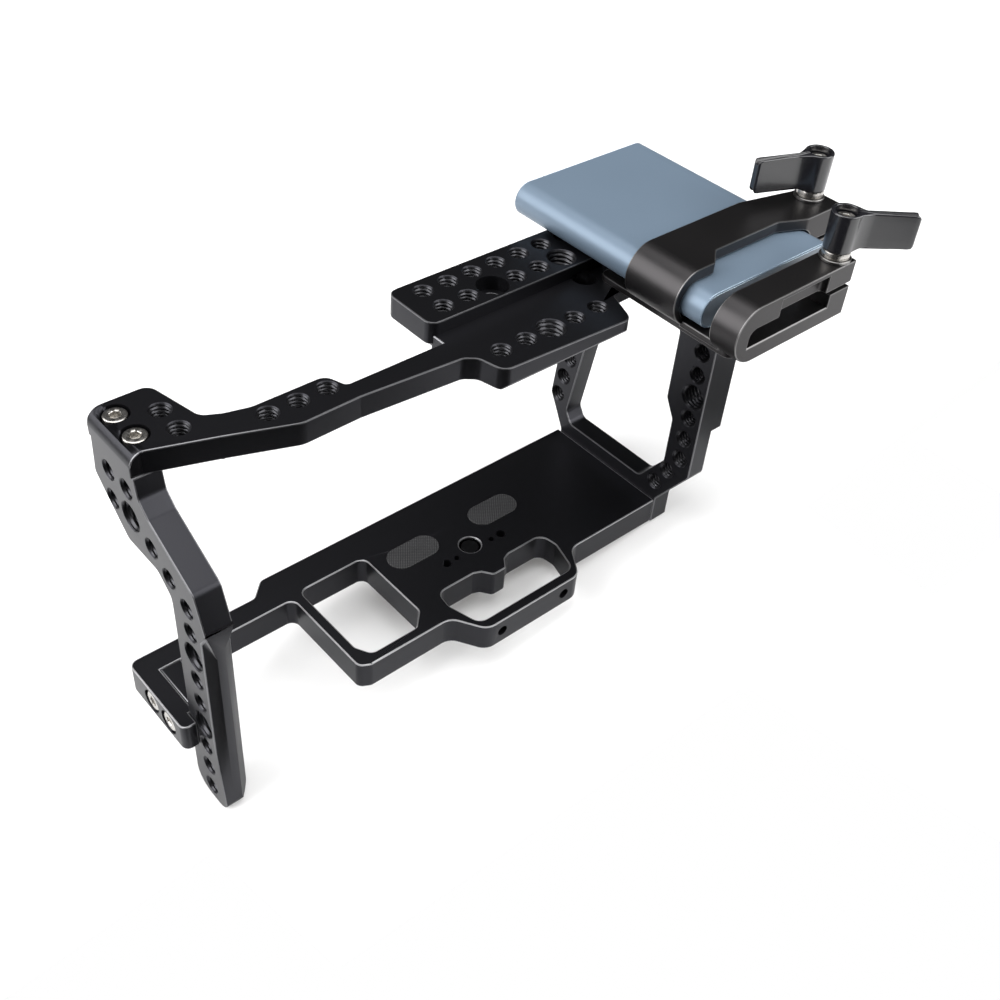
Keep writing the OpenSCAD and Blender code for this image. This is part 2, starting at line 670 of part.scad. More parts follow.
scoop_top_t = 1.7;
scoop_depth = 2.4;
bridge_x = 5.2;
bridge_l = 39.5;
stud_floor = 1.5;
rear_axis = [hook_left + rear_hook_l - rear_axis_in, rear_axis_y];
front_axis = [hook_left + front_hook_l - front_axis_in, front_hook_front + front_hook_w / 2];
stud_bore_d = stud_d + 2 * shaft_gap;
module hook_side(l) {
    translate([hook_cx, clamp_bottom + hook_h / 2]) circle(d = hook_h);
    translate([hook_cx, clamp_bottom]) square([hook_left + l - hook_cx, hook_h]);
}
module drive_side(gap) {
    for (x = [drive_cx, drive_x + drive_w - drive_t / 2])
        translate([x, drive_mid]) circle(d = drive_t + 2 * gap);
    translate([drive_cx, drive_mid - drive_t / 2 - gap]) square([drive_w - drive_t, drive_t + 2 * gap]);
}
module rear_hook() {
    gap = lining_t + lining_gap;
    intersection() {
        along_y(rear_hook_front, rear_hook_front + rear_hook_w) difference() {
            hook_side(rear_hook_l);
            drive_side(gap);
            translate([drive_x + drive_w / 2, drive_mid - slit / 2]) square([rear_hook_l, slit]);
        }
        slab(scaled(rear_plan_shares, [hook_left, rear_hook_front], [rear_hook_l, rear_hook_w], rim_r),
            clamp_bottom - overrun, hook_top + overrun);
    }
}
module front_hook() {
    slot_z = clamp_bottom + slot_low_t;
    end = hook_left + slot_end;
    scoop_left = hook_left + scoop_start;
    scoop_back = front_hook_front + scoop_depth;
    difference() {
        along_y(front_hook_front, front_hook_front + front_hook_w) difference() {
            hook_side(front_hook_l);
            polygon(rounded([[hook_left + slot_in, slot_z, 0], [end, slot_z, 0], [end, slot_z + slot_h, 0],
                [hook_left + slot_in, slot_z + slot_h, slot_r]]));
            translate([end - overrun, slot_z + slot_h - slit]) square([front_hook_l, slit]);
        }
        slab([[scoop_left, scoop_back, rim_r], [scoop_left, front_hook_front - overrun, 0],
            [end - rim_r, front_hook_front - overrun, 0], [end - rim_r, scoop_back, rim_r]],
            slot_z + slot_h / 2, hook_top - scoop_top_t);
    }
}
module drive_clamp() {
    bridge_front = front_hook_front + front_hook_w - overrun;
    color(anodised) from_pad() difference() {
        union() {
            rear_hook();
            front_hook();
            translate([hook_left + bridge_x, bridge_front, clamp_bottom])
                cube([bridge_l, rear_hook_front + overrun - bridge_front, lower_jaw_t]);
        }
        for (p = [rear_axis, front_axis]) translate([p.x, p.y, hook_top])
            blind_hole(stud_bore_d, hook_h - stud_floor);
        for (y = body_screw_y) translate([body_screw_x, y, clamp_bottom + lower_jaw_t])
            flat_seat(m3_d, m3_head_d, m3_head_h, lower_jaw_t + overrun);
    }
}
module jaw_linings() {
    color(rubber) from_pad() for (z = [clamp_bottom + lower_jaw_t, hook_top - upper_jaw_t - lining_t])
        translate([drive_cx, rear_hook_front + lining_in, z])
            cube([drive_w - drive_t, lining_w, lining_t]);
}

// Camera screw: its washer slides in the recess, and the screw turns in it
camera_head_d = 12;
camera_head_h = 2.5;
camera_ring_t = 0.8;
camera_ring_d = 10.6;
camera_washer_t = 0.6;
camera_sink = 0.8;
camera_slot_w = 1.6;
camera_slot_depth = 1.4;
camera_head_low = base_bottom + camera_ring_t;
module camera_screw() {
    color(steel) from_pad() translate([screw_x, -screw_y, 0]) difference() {
        union() {
            translate([0, 0, camera_head_low]) cylinder(d = camera_head_d, h = camera_head_h);
            translate([0, 0, camera_head_low])
                cylinder(d = small_thread_d, h = base_top - camera_sink - camera_head_low);
        }
        translate([-camera_head_d, -camera_slot_w / 2, camera_head_low - overrun])
            cube([2 * camera_head_d, camera_slot_w, camera_slot_depth + overrun]);
    }
}
module camera_screw_washer() {
    color(rubber) from_pad() translate([screw_x, -screw_y, camera_head_low + camera_head_h]) difference() {
        cylinder(d = camera_head_d, h = camera_washer_t);
        translate([0, 0, -overrun])
            cylinder(d = small_thread_d + 2 * shaft_gap, h = camera_washer_t + 2 * overrun);
    }
}
module camera_screw_ring() {
    color(steel) from_pad() translate([screw_x, -screw_y, base_bottom]) difference() {
        cylinder(d = camera_recess_d - 2 * shaft_gap, h = camera_ring_t);
        translate([0, 0, -overrun]) cylinder(d = camera_ring_d, h = camera_ring_t + 2 * overrun);
    }
}

// Levers: washer, stud with its collar, lever, screw and spring, from the clamp's top up
washer_d = 10.3;
washer_t = 1;
collar_d = 9.1;
collar_h = 2.3;
lever_gap = 0.1;
hub_web = 3.6;
spring_closed_h = 2.7;
spigot_h = lever_gap + hub_web + lever_lift + spring_closed_h;
cavity_d = 6.8;
lever_screw_head_d = 6.2;
lever_screw_head_h = 2.2;
lever_screw_l = 6;
lever_key = 2.5;
spring_d = 6.4;
spring_wall = 0.55;
hub_taper_share = 0.87;
blade_shares = [[0, 0.42], [0.22, 0.27], [0.45, 0.16], [0.75, 0.165], [0.96, 0.19], [1, 0.12]];
blade_corner = 1;
module on_axis(axis, z) {
    from_pad() translate([axis.x, axis.y, hook_top + z]) children();
}
collar_top = washer_t + collar_h;
lever_low = collar_top + lever_gap;
spigot_top = collar_top + spigot_h;
module washer(axis) {
    color(steel) on_axis(axis, 0) difference() {
        cylinder(d = washer_d, h = washer_t);
        translate([0, 0, -overrun]) cylinder(d = stud_bore_d, h = washer_t + 2 * overrun);
    }
}
module stud(axis) {
    shank = hook_h - stud_floor - overrun / 2;
    color(steel) on_axis(axis, 0) difference() {
        union() {
            translate([0, 0, -shank]) cylinder(d = stud_d, h = shank + spigot_top);
            translate([0, 0, washer_t]) cylinder(d = collar_d, h = collar_h);
        }
        translate([0, 0, spigot_top]) blind_hole(m3_d, lever_screw_l + overrun);
    }
}
module lever(axis, blade_deg) {
    side = [for (s = blade_shares) [s[0] * blade_l, s[1] * hub_d]];
    outline = concat(side, [for (i = [len(side) - 1:-1:0]) [side[i].x, -side[i].y]]);
    color(anodised) on_axis(axis, lever_low) rotate([0, 0, blade_deg]) difference() {
        union() {
            cylinder(d1 = hub_d * hub_taper_share, d2 = hub_d, h = lever_h);
            intersection() {
                linear_extrude(lever_h) polygon(outline);
                along_y(-hub_d, hub_d) polygon(rounded([[0, 0, 0], [blade_l, 0, blade_corner],
                    [blade_l, lever_h, blade_corner], [0, lever_h, 0]]));
            }
        }
        translate([0, 0, -overrun]) cylinder(d = stud_bore_d, h = lever_h);
        translate([0, 0, hub_web]) cylinder(d = cavity_d, h = lever_h);
    }
}
module lever_screw(axis) {
    color(steel) on_axis(axis, spigot_top)
        cap_screw(m3_d, lever_screw_head_d, lever_screw_head_h, lever_key, lever_screw_l);
}
module lever_spring(axis) {
    color(steel) on_axis(axis, lever_low + hub_web) difference() {
        cylinder(d = spring_d, h = spigot_top - lever_low - hub_web);
        translate([0, 0, -overrun])
            cylinder(d = spring_d - 2 * spring_wall, h = spigot_h + 2 * overrun);
    }
}
module rear_washer() {
    washer(rear_axis);
}
module front_washer() {
    washer(front_axis);
}
module rear_stud() {
    stud(rear_axis);
}
module front_stud() {
    stud(front_axis);
}
module rear_lever() {
    lever(rear_axis, rear_blade_deg);
}
module front_lever() {
    lever(front_axis, front_blade_deg);
}
module rear_lever_screw() {
    lever_screw(rear_axis);
}
module front_lever_screw() {
    lever_screw(front_axis);
}
module rear_lever_spring() {
    lever_spring(rear_axis);
}
module front_lever_spring() {
    lever_spring(front_axis);
}

// Portable drive: a flat tube with rounded sides, closed by two end caps
drive_front = -51.2;
shell_wall = 0.8;
cap_sink = 0.1;
port_l = 9;
port_w = 3.2;
port_wall = 0.35;
port_tongue_t = 0.7;
port_tongue_in = 0.5;
module drive_shell() {
    color(shell_blue) from_pad() difference() {
        along_y(drive_front, drive_front + drive_l) drive_side(0);
        along_y(drive_front - overrun, drive_front + cap_t) drive_side(-shell_wall);
        along_y(drive_front + drive_l - cap_t, drive_front + drive_l + overrun) drive_side(-shell_wall);
    }
}
module port_place(y) {
    from_pad() translate([drive_x + drive_w / 2, y, drive_mid]) rotate([90, 0, 0]) children();
}
module drive_front_cap() {
    color(cap_blue) difference() {
        from_pad() along_y(drive_front + cap_sink, drive_front + cap_t) drive_side(-shell_wall);
        port_place(drive_front + cap_t + overrun) linear_extrude(cap_t + 2 * overrun)
            stadium(port_l + 2 * shaft_gap, port_w + 2 * shaft_gap);
    }
}
module drive_rear_cap() {
    color(cap_blue) from_pad()
        along_y(drive_front + drive_l - cap_t, drive_front + drive_l - cap_sink) drive_side(-shell_wall);
}
module drive_port() {
    color(steel) port_place(drive_front + cap_t) union() {
        linear_extrude(cap_t - cap_sink) difference() {
            stadium(port_l, port_w);
            stadium(port_l - 2 * port_wall, port_w - 2 * port_wall);
        }
        linear_extrude(port_tongue_in) stadium(port_l - port_wall, port_w - port_wall);
        linear_extrude(cap_t - port_tongue_in) square([port_l - port_w, port_tongue_t], center = true);
    }
}

top_plate();
left_arm();
base_plate();
side_ring();
arm_cap_screws();
foot_screws();
ring_base_screws();
ring_top_screws();
clamp_plate_screws();
clamp_body_screws();
base_pins();
top_pins();
base_rubber_pads();
arm_bumpers();
clamp_plate();
drive_clamp();
jaw_linings();
camera_screw();
camera_screw_washer();
camera_screw_ring();
rear_washer();
front_washer();
rear_stud();
front_stud();
rear_lever();
front_lever();
rear_lever_screw();
front_lever_screw();
rear_lever_spring();
front_lever_spring();
drive_shell();
drive_front_cap();
drive_rear_cap();
drive_port();
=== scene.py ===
"""Looks of the camera cage: machined plates, accessory threads, screws, drive clamp and drive."""
import logging
import math
from dataclasses import dataclass, field
from enum import Enum
from typing import Any, Callable, Iterable, Mapping, Optional, Sequence, Union

import bmesh
import bpy
import numpy as np
from mathutils import Matrix, Vector


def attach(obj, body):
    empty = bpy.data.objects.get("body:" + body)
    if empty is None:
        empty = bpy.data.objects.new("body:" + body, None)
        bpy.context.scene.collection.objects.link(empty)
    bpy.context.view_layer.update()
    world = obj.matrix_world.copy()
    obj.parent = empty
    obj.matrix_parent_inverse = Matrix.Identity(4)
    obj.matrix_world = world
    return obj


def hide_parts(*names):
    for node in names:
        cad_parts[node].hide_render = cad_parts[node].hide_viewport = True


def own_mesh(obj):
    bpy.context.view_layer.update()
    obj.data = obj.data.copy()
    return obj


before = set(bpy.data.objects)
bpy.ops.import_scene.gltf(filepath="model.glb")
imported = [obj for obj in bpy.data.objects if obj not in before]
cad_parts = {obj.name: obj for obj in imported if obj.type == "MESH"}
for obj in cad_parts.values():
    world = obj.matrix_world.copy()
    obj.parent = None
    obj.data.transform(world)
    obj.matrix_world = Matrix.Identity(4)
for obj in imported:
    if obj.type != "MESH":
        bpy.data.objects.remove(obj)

LOG = logging.getLogger("camera_cage")
MM = 0.001
TAU = 2 * math.pi
Colour = tuple[float, float, float]
Place = tuple[float, float, float]
# The raised pad's front left corner in the part's frame, in mm; places below are from there.
PAD_CORNER = np.array([-18.3, 4.5, 99.0])
# Points of a mesh that are closer than this, in metres, are one.
MERGED = 1e-7
# How far the rubber pads' net is turned.
NET_TURN = math.radians(38)


class Side(Enum):
    """Directions in which a hole or a screw faces, as unit vectors."""

    UP = (0.0, 0.0, 1.0)
    LEFT = (-1.0, 0.0, 0.0)
    RIGHT = (1.0, 0.0, 0.0)
    FRONT = (0.0, -1.0, 0.0)


# A hole's rim: a point on the axis, the side that it faces and its radius.
Rim = tuple[Place, Side, float]


# ---------------------------------------------------------------- shader maths


class Socket:
    """A value in a shader tree; arithmetic on it adds Math nodes."""

    def __init__(self, tree: "ShaderTree", socket: bpy.types.NodeSocket) -> None:
        """Keeps the tree and the socket that carries the value."""
        self.tree = tree
        self.socket = socket

    def _math(self, operation: str, first: Any, second: Any = 0.0) -> "Socket":
        """Adds one Math node.

        Args:
            operation: Blender's name of the operation.
            first: left operand, a Socket or a number.
            second: right operand, a Socket or a number.

        Returns:
            The node's result.
        """
        return self.tree.add("ShaderNodeMath", {"operation": operation}, {0: first, 1: second})

    def __add__(self, other: Any) -> "Socket":
        """self + other."""
        return self._math("ADD", self, other)

    def __radd__(self, other: Any) -> "Socket":
        """other + self."""
        return self._math("ADD", other, self)

    def __sub__(self, other: Any) -> "Socket":
        """self - other."""
        return self._math("SUBTRACT", self, other)

    def __rsub__(self, other: Any) -> "Socket":
        """other - self."""
        return self._math("SUBTRACT", other, self)

    def __mul__(self, other: Any) -> "Socket":
        """self * other."""
        return self._math("MULTIPLY", self, other)

    def __rmul__(self, other: Any) -> "Socket":
        """other * self."""
        return self._math("MULTIPLY", other, self)

    def __truediv__(self, other: Any) -> "Socket":
        """self / other."""
        return self._math("DIVIDE", self, other)

    def __rtruediv__(self, other: Any) -> "Socket":
        """other / self."""
        return self._math("DIVIDE", other, self)

    def sine(self) -> "Socket":
        """Sine of the value in radians."""
        return self._math("SINE", self)

    def absolute(self) -> "Socket":
        """Size of the value without its sign."""
        return self._math("ABSOLUTE", self)

    def clamped(self) -> "Socket":
        """The value held between 0 and 1."""
        return self.tree.add("ShaderNodeClamp", None, {"Value": self})


class ShaderTree:
    """The node tree of one material or world, with its shader on its output."""

    def __init__(self, owner: Union[bpy.types.Material, bpy.types.World],
                 shader: str = "ShaderNodeBsdfPrincipled",
                 output: str = "ShaderNodeOutputMaterial") -> None:
        """Empties the tree and sets a shader on its output.

        Args:
            owner: the material or the world.
            shader: the shader's type.
            output: the output node's type.
        """
        owner.use_nodes = True
        self.nodes, self.links = owner.node_tree.nodes, owner.node_tree.links
        self.nodes.clear()
        self.shader = self.nodes.new(shader)
        self.links.new(self.shader.outputs[0], self.nodes.new(output).inputs[0])

    def add(self, kind: str, settings: Optional[Mapping[str, Any]] = None,
            inputs: Optional[Mapping[Any, Any]] = None, out: Any = 0) -> Socket:
        """Adds any node: its settings are set first, then its sockets.

        Args:
            kind: the node's type.
            settings: attributes of the node, such as a Math node's operation.
            inputs: socket names or numbers with values or Sockets.
            out: name or number of the output that is returned.

        Returns:
            That output.
        """
        node = self.nodes.new(kind)
        for key, value in (settings or {}).items():
            setattr(node, key, value)
        for key, value in (inputs or {}).items():
            self.feed(node.inputs[key], value)
        return Socket(self, node.outputs[out])

    def feed(self, target: bpy.types.NodeSocket, value: Any) -> None:
        """Links a Socket to the target, or writes a plain value on it.

        Args:
            target: the socket that takes the value.
            value: a Socket, a number, a vector, or a colour without its alpha.
        """
        if isinstance(value, Socket):
            self.links.new(value.socket, target)
        else:
            target.default_value = (*value, 1.0) if target.type == "RGBA" else value

    def surface(self, **values: Any) -> None:
        """Feeds sockets of the shader, whose names have underscores for spaces."""
        for key, value in values.items():
            self.feed(self.shader.inputs[key.replace("_", " ")], value)

    def place(self, turn: float = 0.0, scale: float = 1 / MM) -> Socket:
        """Object coordinates, in mm unless scaled otherwise, turned about Z."""
        return self.add("ShaderNodeMapping", None,
                        {"Vector": self.add("ShaderNodeTexCoord", out="Object"),
                         "Rotation": (0.0, 0.0, turn), "Scale": (scale,) * 3})

    def noise(self, vector: Socket, scale: float, detail: float) -> Socket:
        """Noise from 0 to 1 at that scale."""
        return self.add("ShaderNodeTexNoise", None,
                        {"Vector": vector, "Scale": scale, "Detail": detail}, "Fac")

    def blend(self, mask: Socket, low: Any, high: Any) -> Socket:
        """Mixes two colours, or Sockets that carry them, by a mask."""
        return self.add("ShaderNodeMix", {"data_type": "RGBA"},
                        {"Factor": mask, 6: low, 7: high}, 2)

    def bump(self, height: Socket, distance: float) -> Socket:
        """Normal from a height; the distance is in metres."""
        return self.add("ShaderNodeBump", None, {"Height": height, "Distance": distance})

    def seen(self) -> Socket:
        """1 where the camera itself looks at the surface, and 0 for all other light."""
        return self.add("ShaderNodeLightPath", out="Is Camera Ray")


def around(middle: float, *waves: tuple[Socket, float]) -> Socket:
    """Varies a number: middle + the sum of amount (wave - 1/2).

    Args:
        middle: the number.
        waves: patterns from 0 to 1, each with its amount.

    Returns:
        The Socket of the sum.
    """
    total: Any = middle - sum(amount for _, amount in waves) / 2
    for wave, amount in waves:
        total = wave * amount + total
    return total


def shade(colour: Colour, share: float, lift: float = 0.0) -> Colour:
    """The colour times a share, plus a lift, and no channel above 1."""
    return tuple(min(1.0, c * share + lift) for c in colour)


# ---------------------------------------------------------------- finishes


@dataclass(frozen=True)
class Finish:
    """Common sizes of every finish."""

    name: str
    colour: Colour
    roughness: float

    def material(self) -> bpy.types.Material:
        """Looks the finish's material up, or makes it.

        Returns:
            The material, one for all pieces with this finish.
        """
        found = bpy.data.materials.get(self.name)
        if found is None:
            found = bpy.data.materials.new(self.name)
            self.build(ShaderTree(found))
        return found

    def build(self, tree: ShaderTree) -> None:
        """Fills the tree; each finish has its own."""
        raise NotImplementedError


@dataclass(frozen=True)
class Anodised(Finish):
    """Bead-blasted and anodised aluminium: a metal under a dark dyed film."""

    metallic: float = 0.0
    grain: float = 9.0
    blast: float = 4e-6
    worn: float = 0.35
    cloud: float = 0.035
    grain_share: float = 0.45

    def build(self, tree: ShaderTree) -> None:
        """Fine blasted bump, faint cloudiness of the dye, small changes of gloss.

        Args:
            tree: the material's tree.
        """
        place = tree.place()
        grain = tree.noise(place, self.grain, 3.0)
        cloud = tree.noise(place, self.cloud, 2.0)
        mask = (grain * self.grain_share + cloud * (1 - self.grain_share)).clamped()
        tree.surface(Base_Color=tree.blend(mask, self.colour,
                                           shade(self.colour, 1 + self.worn, 0.002)),
                     Metallic=self.metallic, Normal=tree.bump(grain, self.blast),
                     Roughness=around(self.roughness, (grain, 0.06), (cloud, 0.08)))


@dataclass(frozen=True)
class Coated(Finish):
    """Gloss black coat with a faint orange peel."""

    peel: float = 1.1
    dust: float = 14.0
    relief: float = 6e-6
    coat: float = 0.72
    coat_roughness: float = 0.14

    def build(self, tree: ShaderTree) -> None:
        """Slow waves in the coat and a little dust in its gloss.

        Args:
            tree: the material's tree.
        """
        place = tree.place()
        dust = tree.noise(place, self.dust, 2.0)
        tree.surface(Base_Color=tree.blend(dust, self.colour, shade(self.colour, 1.5)),
                     Roughness=around(self.roughness, (dust, 0.08)),
                     Normal=tree.bump(tree.noise(place, self.peel, 1.0), self.relief),
                     Coat_Weight=self.coat, Coat_Roughness=self.coat_roughness)


@dataclass(frozen=True)
class Turned(Finish):
    """Stainless steel, turned and lightly polished."""

    pitch: float = 22.0
    stain: float = 0.9
    groove: float = 2.5e-6

    def build(self, tree: ShaderTree) -> None:
        """Bright metal with fine marks and a few stains.

        Args:
            tree: the material's tree.
        """
        place = tree.place()
        marks = tree.noise(place, self.pitch, 4.0)
        stain = tree.noise(place, self.stain, 3.0)
        tree.surface(Base_Color=tree.blend(stain, shade(self.colour, 0.82), self.colour),
                     Metallic=1.0, Normal=tree.bump(marks, self.groove),
                     Roughness=around(self.roughness, (marks, 0.12), (stain, 0.08)))


@dataclass(frozen=True)
class NetRubber(Finish):
    """Moulded rubber with a fine diagonal net."""

    pitch: float = 0.80
    lift: Colour = (0.066, 0.066, 0.068)
    fleck: float = 2.1
    relief: float = 4e-5

    def build(self, tree: ShaderTree) -> None:
        """Lighter crossings: |sin(pi x / p)| |sin(pi y / p)| on turned coordinates.

        Args:
            tree: the material's tree.
        """
        place = tree.place(NET_TURN)
        split = tree.add("ShaderNodeSeparateXYZ", None, {0: place}).socket.node
        across, along = ((Socket(tree, axis) * (math.pi / self.pitch)).sine().absolute()
                         for axis in split.outputs[:2])
        net = across * along
        bright = (net * (tree.noise(place, self.fleck, 2.0) * 0.9 + 0.2)).clamped()
        tree.surface(Base_Color=tree.blend(bright, self.colour, self.lift),
                     Roughness=net * -0.1 + self.roughness,
                     Normal=tree.bump(net, self.relief))


@dataclass(frozen=True)
class Moulded(Finish):
    """Satin moulded plastic, or matt rubber."""

    grain: float = 7.0
    cloud: float = 0.06
    relief: float = 5e-6

    def build(self, tree: ShaderTree) -> None:
        """Fine spark-eroded grain.

        Args:
            tree: the material's tree.
        """
        place = tree.place()
        grain = tree.noise(place, self.grain, 3.0)
        cloud = tree.noise(place, self.cloud, 1.0)
        tree.surface(Base_Color=tree.blend(cloud, shade(self.colour, 0.9), self.colour),
                     Roughness=around(self.roughness, (grain, 0.1)),
                     Normal=tree.bump(grain, self.relief))


BLACK = Anodised("black_anodised", (0.120, 0.120, 0.128), 0.40, metallic=0.93, worn=0.15)
BLACK_CLAMP = Anodised("black_anodised_clamp", (0.043, 0.041, 0.042), 0.38, metallic=0.94,
                       worn=0.12)
# The threads are a darker black than the plates: painted shade inside the holes.
THREAD_PAINTED_SHADE = Anodised("anodised_thread_painted_shade", (0.046, 0.046, 0.050), 0.33, metallic=0.93, worn=0.1)
# The chamfer faces get lighter copies of the black anodise. This is painted highlight: the edges
# read as bright lines whichever way they face.
PAINTED_HIGHLIGHT_EDGE = Anodised("painted_highlight_edge", (0.36, 0.36, 0.37), 0.36, metallic=0.95, worn=0.30)
PAINTED_HIGHLIGHT_EDGE_SOFT = Anodised("painted_highlight_edge_soft", (0.145, 0.145, 0.152), 0.38, metallic=0.94, worn=0.2)
PAINTED_HIGHLIGHT_EDGE_CLAMP = Anodised("painted_highlight_edge_clamp", (0.150, 0.147, 0.147), 0.36, metallic=0.95, worn=0.2)
LEVER = Coated("gloss_black_coat", (0.0080, 0.0080, 0.0100), 0.25)
BLACKENED = Turned("blackened_steel", (0.035, 0.035, 0.037), 0.36)
POLISHED = Turned("polished_rim", (0.60, 0.70, 0.78), 0.26)
STEEL = Turned("stainless_turned", (0.56, 0.54, 0.51), 0.28)
WASHER = Turned("washer_steel", (0.24, 0.235, 0.23), 0.34)
SPRING = Turned("spring_wire", (0.46, 0.45, 0.43), 0.32)
NET = NetRubber("net_rubber", (0.005, 0.005, 0.006), 0.66)
RUBBER = Moulded("matt_rubber", (0.030, 0.030, 0.032), 0.70)
NYLON = Moulded("black_nylon", (0.035, 0.035, 0.036), 0.5)
SHELL = Anodised("blue_shell", (0.150, 0.203, 0.265), 0.42, metallic=0.30, blast=2.5e-6, worn=0.05)
CAP = Moulded("blue_grey_cap", (0.165, 0.200, 0.240), 0.42)


# ---------------------------------------------------------------- surfaces


def grid_quads(rows: int, columns: int, close_rows: bool, start: int) -> np.ndarray:
    """Quads between neighbouring points of closed rings that are stored one by one.

    Args:
        rows: number of rings.
        columns: number of points in a ring.
        close_rows: joins the last ring to the first.
        start: number of the grid's first point.

    Returns:
        An array of four point numbers a face.
    """
    i = np.arange(rows if close_rows else rows - 1)[:, None]
    j = np.arange(columns)[None, :]
    i2, j2 = (i + 1) % rows, (j + 1) % columns
    quads = np.stack([i * columns + j, i * columns + j2, i2 * columns + j2, i2 * columns + j], -1)
    return quads.reshape(-1, 4) + start


@dataclass
class Draft:
    """Points and faces of a piece while it is worked out, in millimetres."""

    points: list[np.ndarray] = field(default_factory=list)
    faces: list[list[int]] = field(default_factory=list)
    count: int = 0

    def add_grid(self, points: np.ndarray, close_rows: bool = False,
                 caps: bool = False) -> "Draft":
        """Adds a grid of closed rings.

        Args:
            points: array of shape (rows, columns, 3).
            close_rows: joins the last ring to the first.
            caps: fills the first and the last ring with one face each.

        Returns:
            This draft.
        """
        rows, columns = points.shape[:2]
        self.faces += grid_quads(rows, columns, close_rows, self.count).tolist()
        if caps:
            first = np.arange(columns) + self.count
            self.faces += [first[::-1].tolist(), (first + (rows - 1) * columns).tolist()]
        self.points.append(points.reshape(-1, 3))
        self.count += rows * columns
        return self

    def piece(self, name: str, finish: Finish, body: str, sharp_deg: float,
              replaces: Sequence[str] = ()) -> bpy.types.Object:
        """Makes the mesh, dresses it and sets it on its body.

        Args:
            name: the piece's name.
            finish: its finish.
            body: the body that it rides on.
            sharp_deg: angle from which an edge stays sharp.
            replaces: solids that it stands for.

        Returns:
            The object.
        """
        mesh = bpy.data.meshes.new(name)
        mesh.from_pydata((np.concatenate(self.points) * MM).tolist(), [], self.faces)
        tidy_normals(mesh)
        return seat(name, mesh, finish, body, sharp_deg, replaces)


def tidy_normals(mesh: bpy.types.Mesh) -> None:
    """Merges doubles and turns all faces outwards.

    Args:
        mesh: the mesh, in metres, which is changed in place.
    """
    work = bmesh.new()
    work.from_mesh(mesh)
    bmesh.ops.remove_doubles(work, verts=work.verts, dist=MERGED)
    bmesh.ops.recalc_face_normals(work, faces=work.faces)
    work.to_mesh(mesh)
    work.free()


def seat(name: str, mesh: bpy.types.Mesh, finish: Finish, body: str, sharp_deg: float,
         replaces: Sequence[str], edge: Optional[Finish] = None) -> bpy.types.Object:
    """Links a mesh as a piece with smooth shading up to an angle.

    Args:
        name: the piece's name.
        mesh: its finished mesh, in metres.
        finish: its finish.
        body: the body that it rides on.
        sharp_deg: angle from which an edge stays sharp.
        replaces: solids that it stands for.
        edge: finish of its broken edges, the faces with material number 1; its lighter colour
            paints highlights on them.

    Returns:
        The object.
    """
    piece = bpy.data.objects.new(name, mesh)
    bpy.context.scene.collection.objects.link(piece)
    number = np.zeros(len(mesh.polygons), np.int32)
    mesh.polygons.foreach_get("material_index", number)
    mesh.materials.clear()
    for each in (finish, edge) if edge else (finish,):
        mesh.materials.append(each.material())
    mesh.polygons.foreach_set("use_smooth", np.ones(len(mesh.polygons), bool))
    mesh.polygons.foreach_set("material_index", np.minimum(number, len(mesh.materials) - 1))
    mesh.set_sharp_from_angle(angle=math.radians(sharp_deg))
    weighted = piece.modifiers.new("even_shading", "WEIGHTED_NORMAL")
    weighted.keep_sharp = True
    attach(piece, body)
    if replaces:
        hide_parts(*replaces)
    LOG.info("%s: %d faces on %s", name, len(mesh.polygons), body)
    return piece


def basis(side: Side) -> np.ndarray:
    """The frame of something that faces a side.

    Args:
        side: where its Z points.

    Returns:
        Its X, Y and Z as the rows of a 3 x 3 array.
    """
    z = np.array(side.value)
    x = np.array([0.0, 1.0, 0.0]) if abs(z[0]) > 0.5 else np.array([1.0, 0.0, 0.0])
    return np.stack([x, np.cross(z, x), z])


def placed(points: np.ndarray, origin: Sequence[float], side: Side = Side.UP) -> np.ndarray:
    """Turns local points to face a side and sets them at a place of the pad's frame."""
    return points @ basis(side) + np.asarray(origin, float) + PAD_CORNER


def about_z(angle: float) -> np.ndarray:
    """Turns rows of points: x' = x cos a - y sin a, y' = x sin a + y cos a."""
    c, s = math.cos(angle), math.sin(angle)
    return np.array([[c, s, 0], [-s, c, 0], [0, 0, 1]])


def polar(radius: Any, angle: Any, *height: Any) -> np.ndarray:
    """Points (r cos a, r sin a), with a third coordinate where one is given."""
    flat = (radius * np.cos(angle), radius * np.sin(angle))
    return np.stack(np.broadcast_arrays(*flat, *height), -1)


def lathe(profile: Sequence[Sequence[float]], columns: int = 48,
          shape: Optional[Callable[[np.ndarray, int], np.ndarray]] = None) -> np.ndarray:
    """Rings of a profile of (radius, height): p = (r cos a, r sin a, h).

    Args:
        profile: radius and height of each ring.
        columns: points in a ring.
        shape: gives a factor on the radius for each angle of ring k.

    Returns:
        An array of shape (rings, columns, 3).
    """
    angle = np.arange(columns) * TAU / columns
    rings = np.asarray(profile, float)
    radius = np.repeat(rings[:, :1], columns, 1)
    if shape is not None:
        radius = np.stack([radius[k] * shape(angle, k) for k in range(len(rings))])
    return polar(radius, angle, rings[:, 1:])


def smooth_step(x: np.ndarray, low: float, high: float) -> np.ndarray:
    """0 below low, 1 above high, with t t (3 - 2 t) between."""
    t = np.clip((x - low) / (high - low), 0, 1)
    return t * t * (3 - 2 * t)


# ---------------------------------------------------------------- threads


@dataclass(frozen=True)
class Thread:
    """An accessory thread: radius at its root, pitch and depth in mm, and points in a turn."""

    root_r: float
    pitch: float
    depth: float
    columns: int


SMALL = Thread(3.175, 1.27, 0.52, 30)
LARGE = Thread(4.75, 1.5875, 0.68, 38)


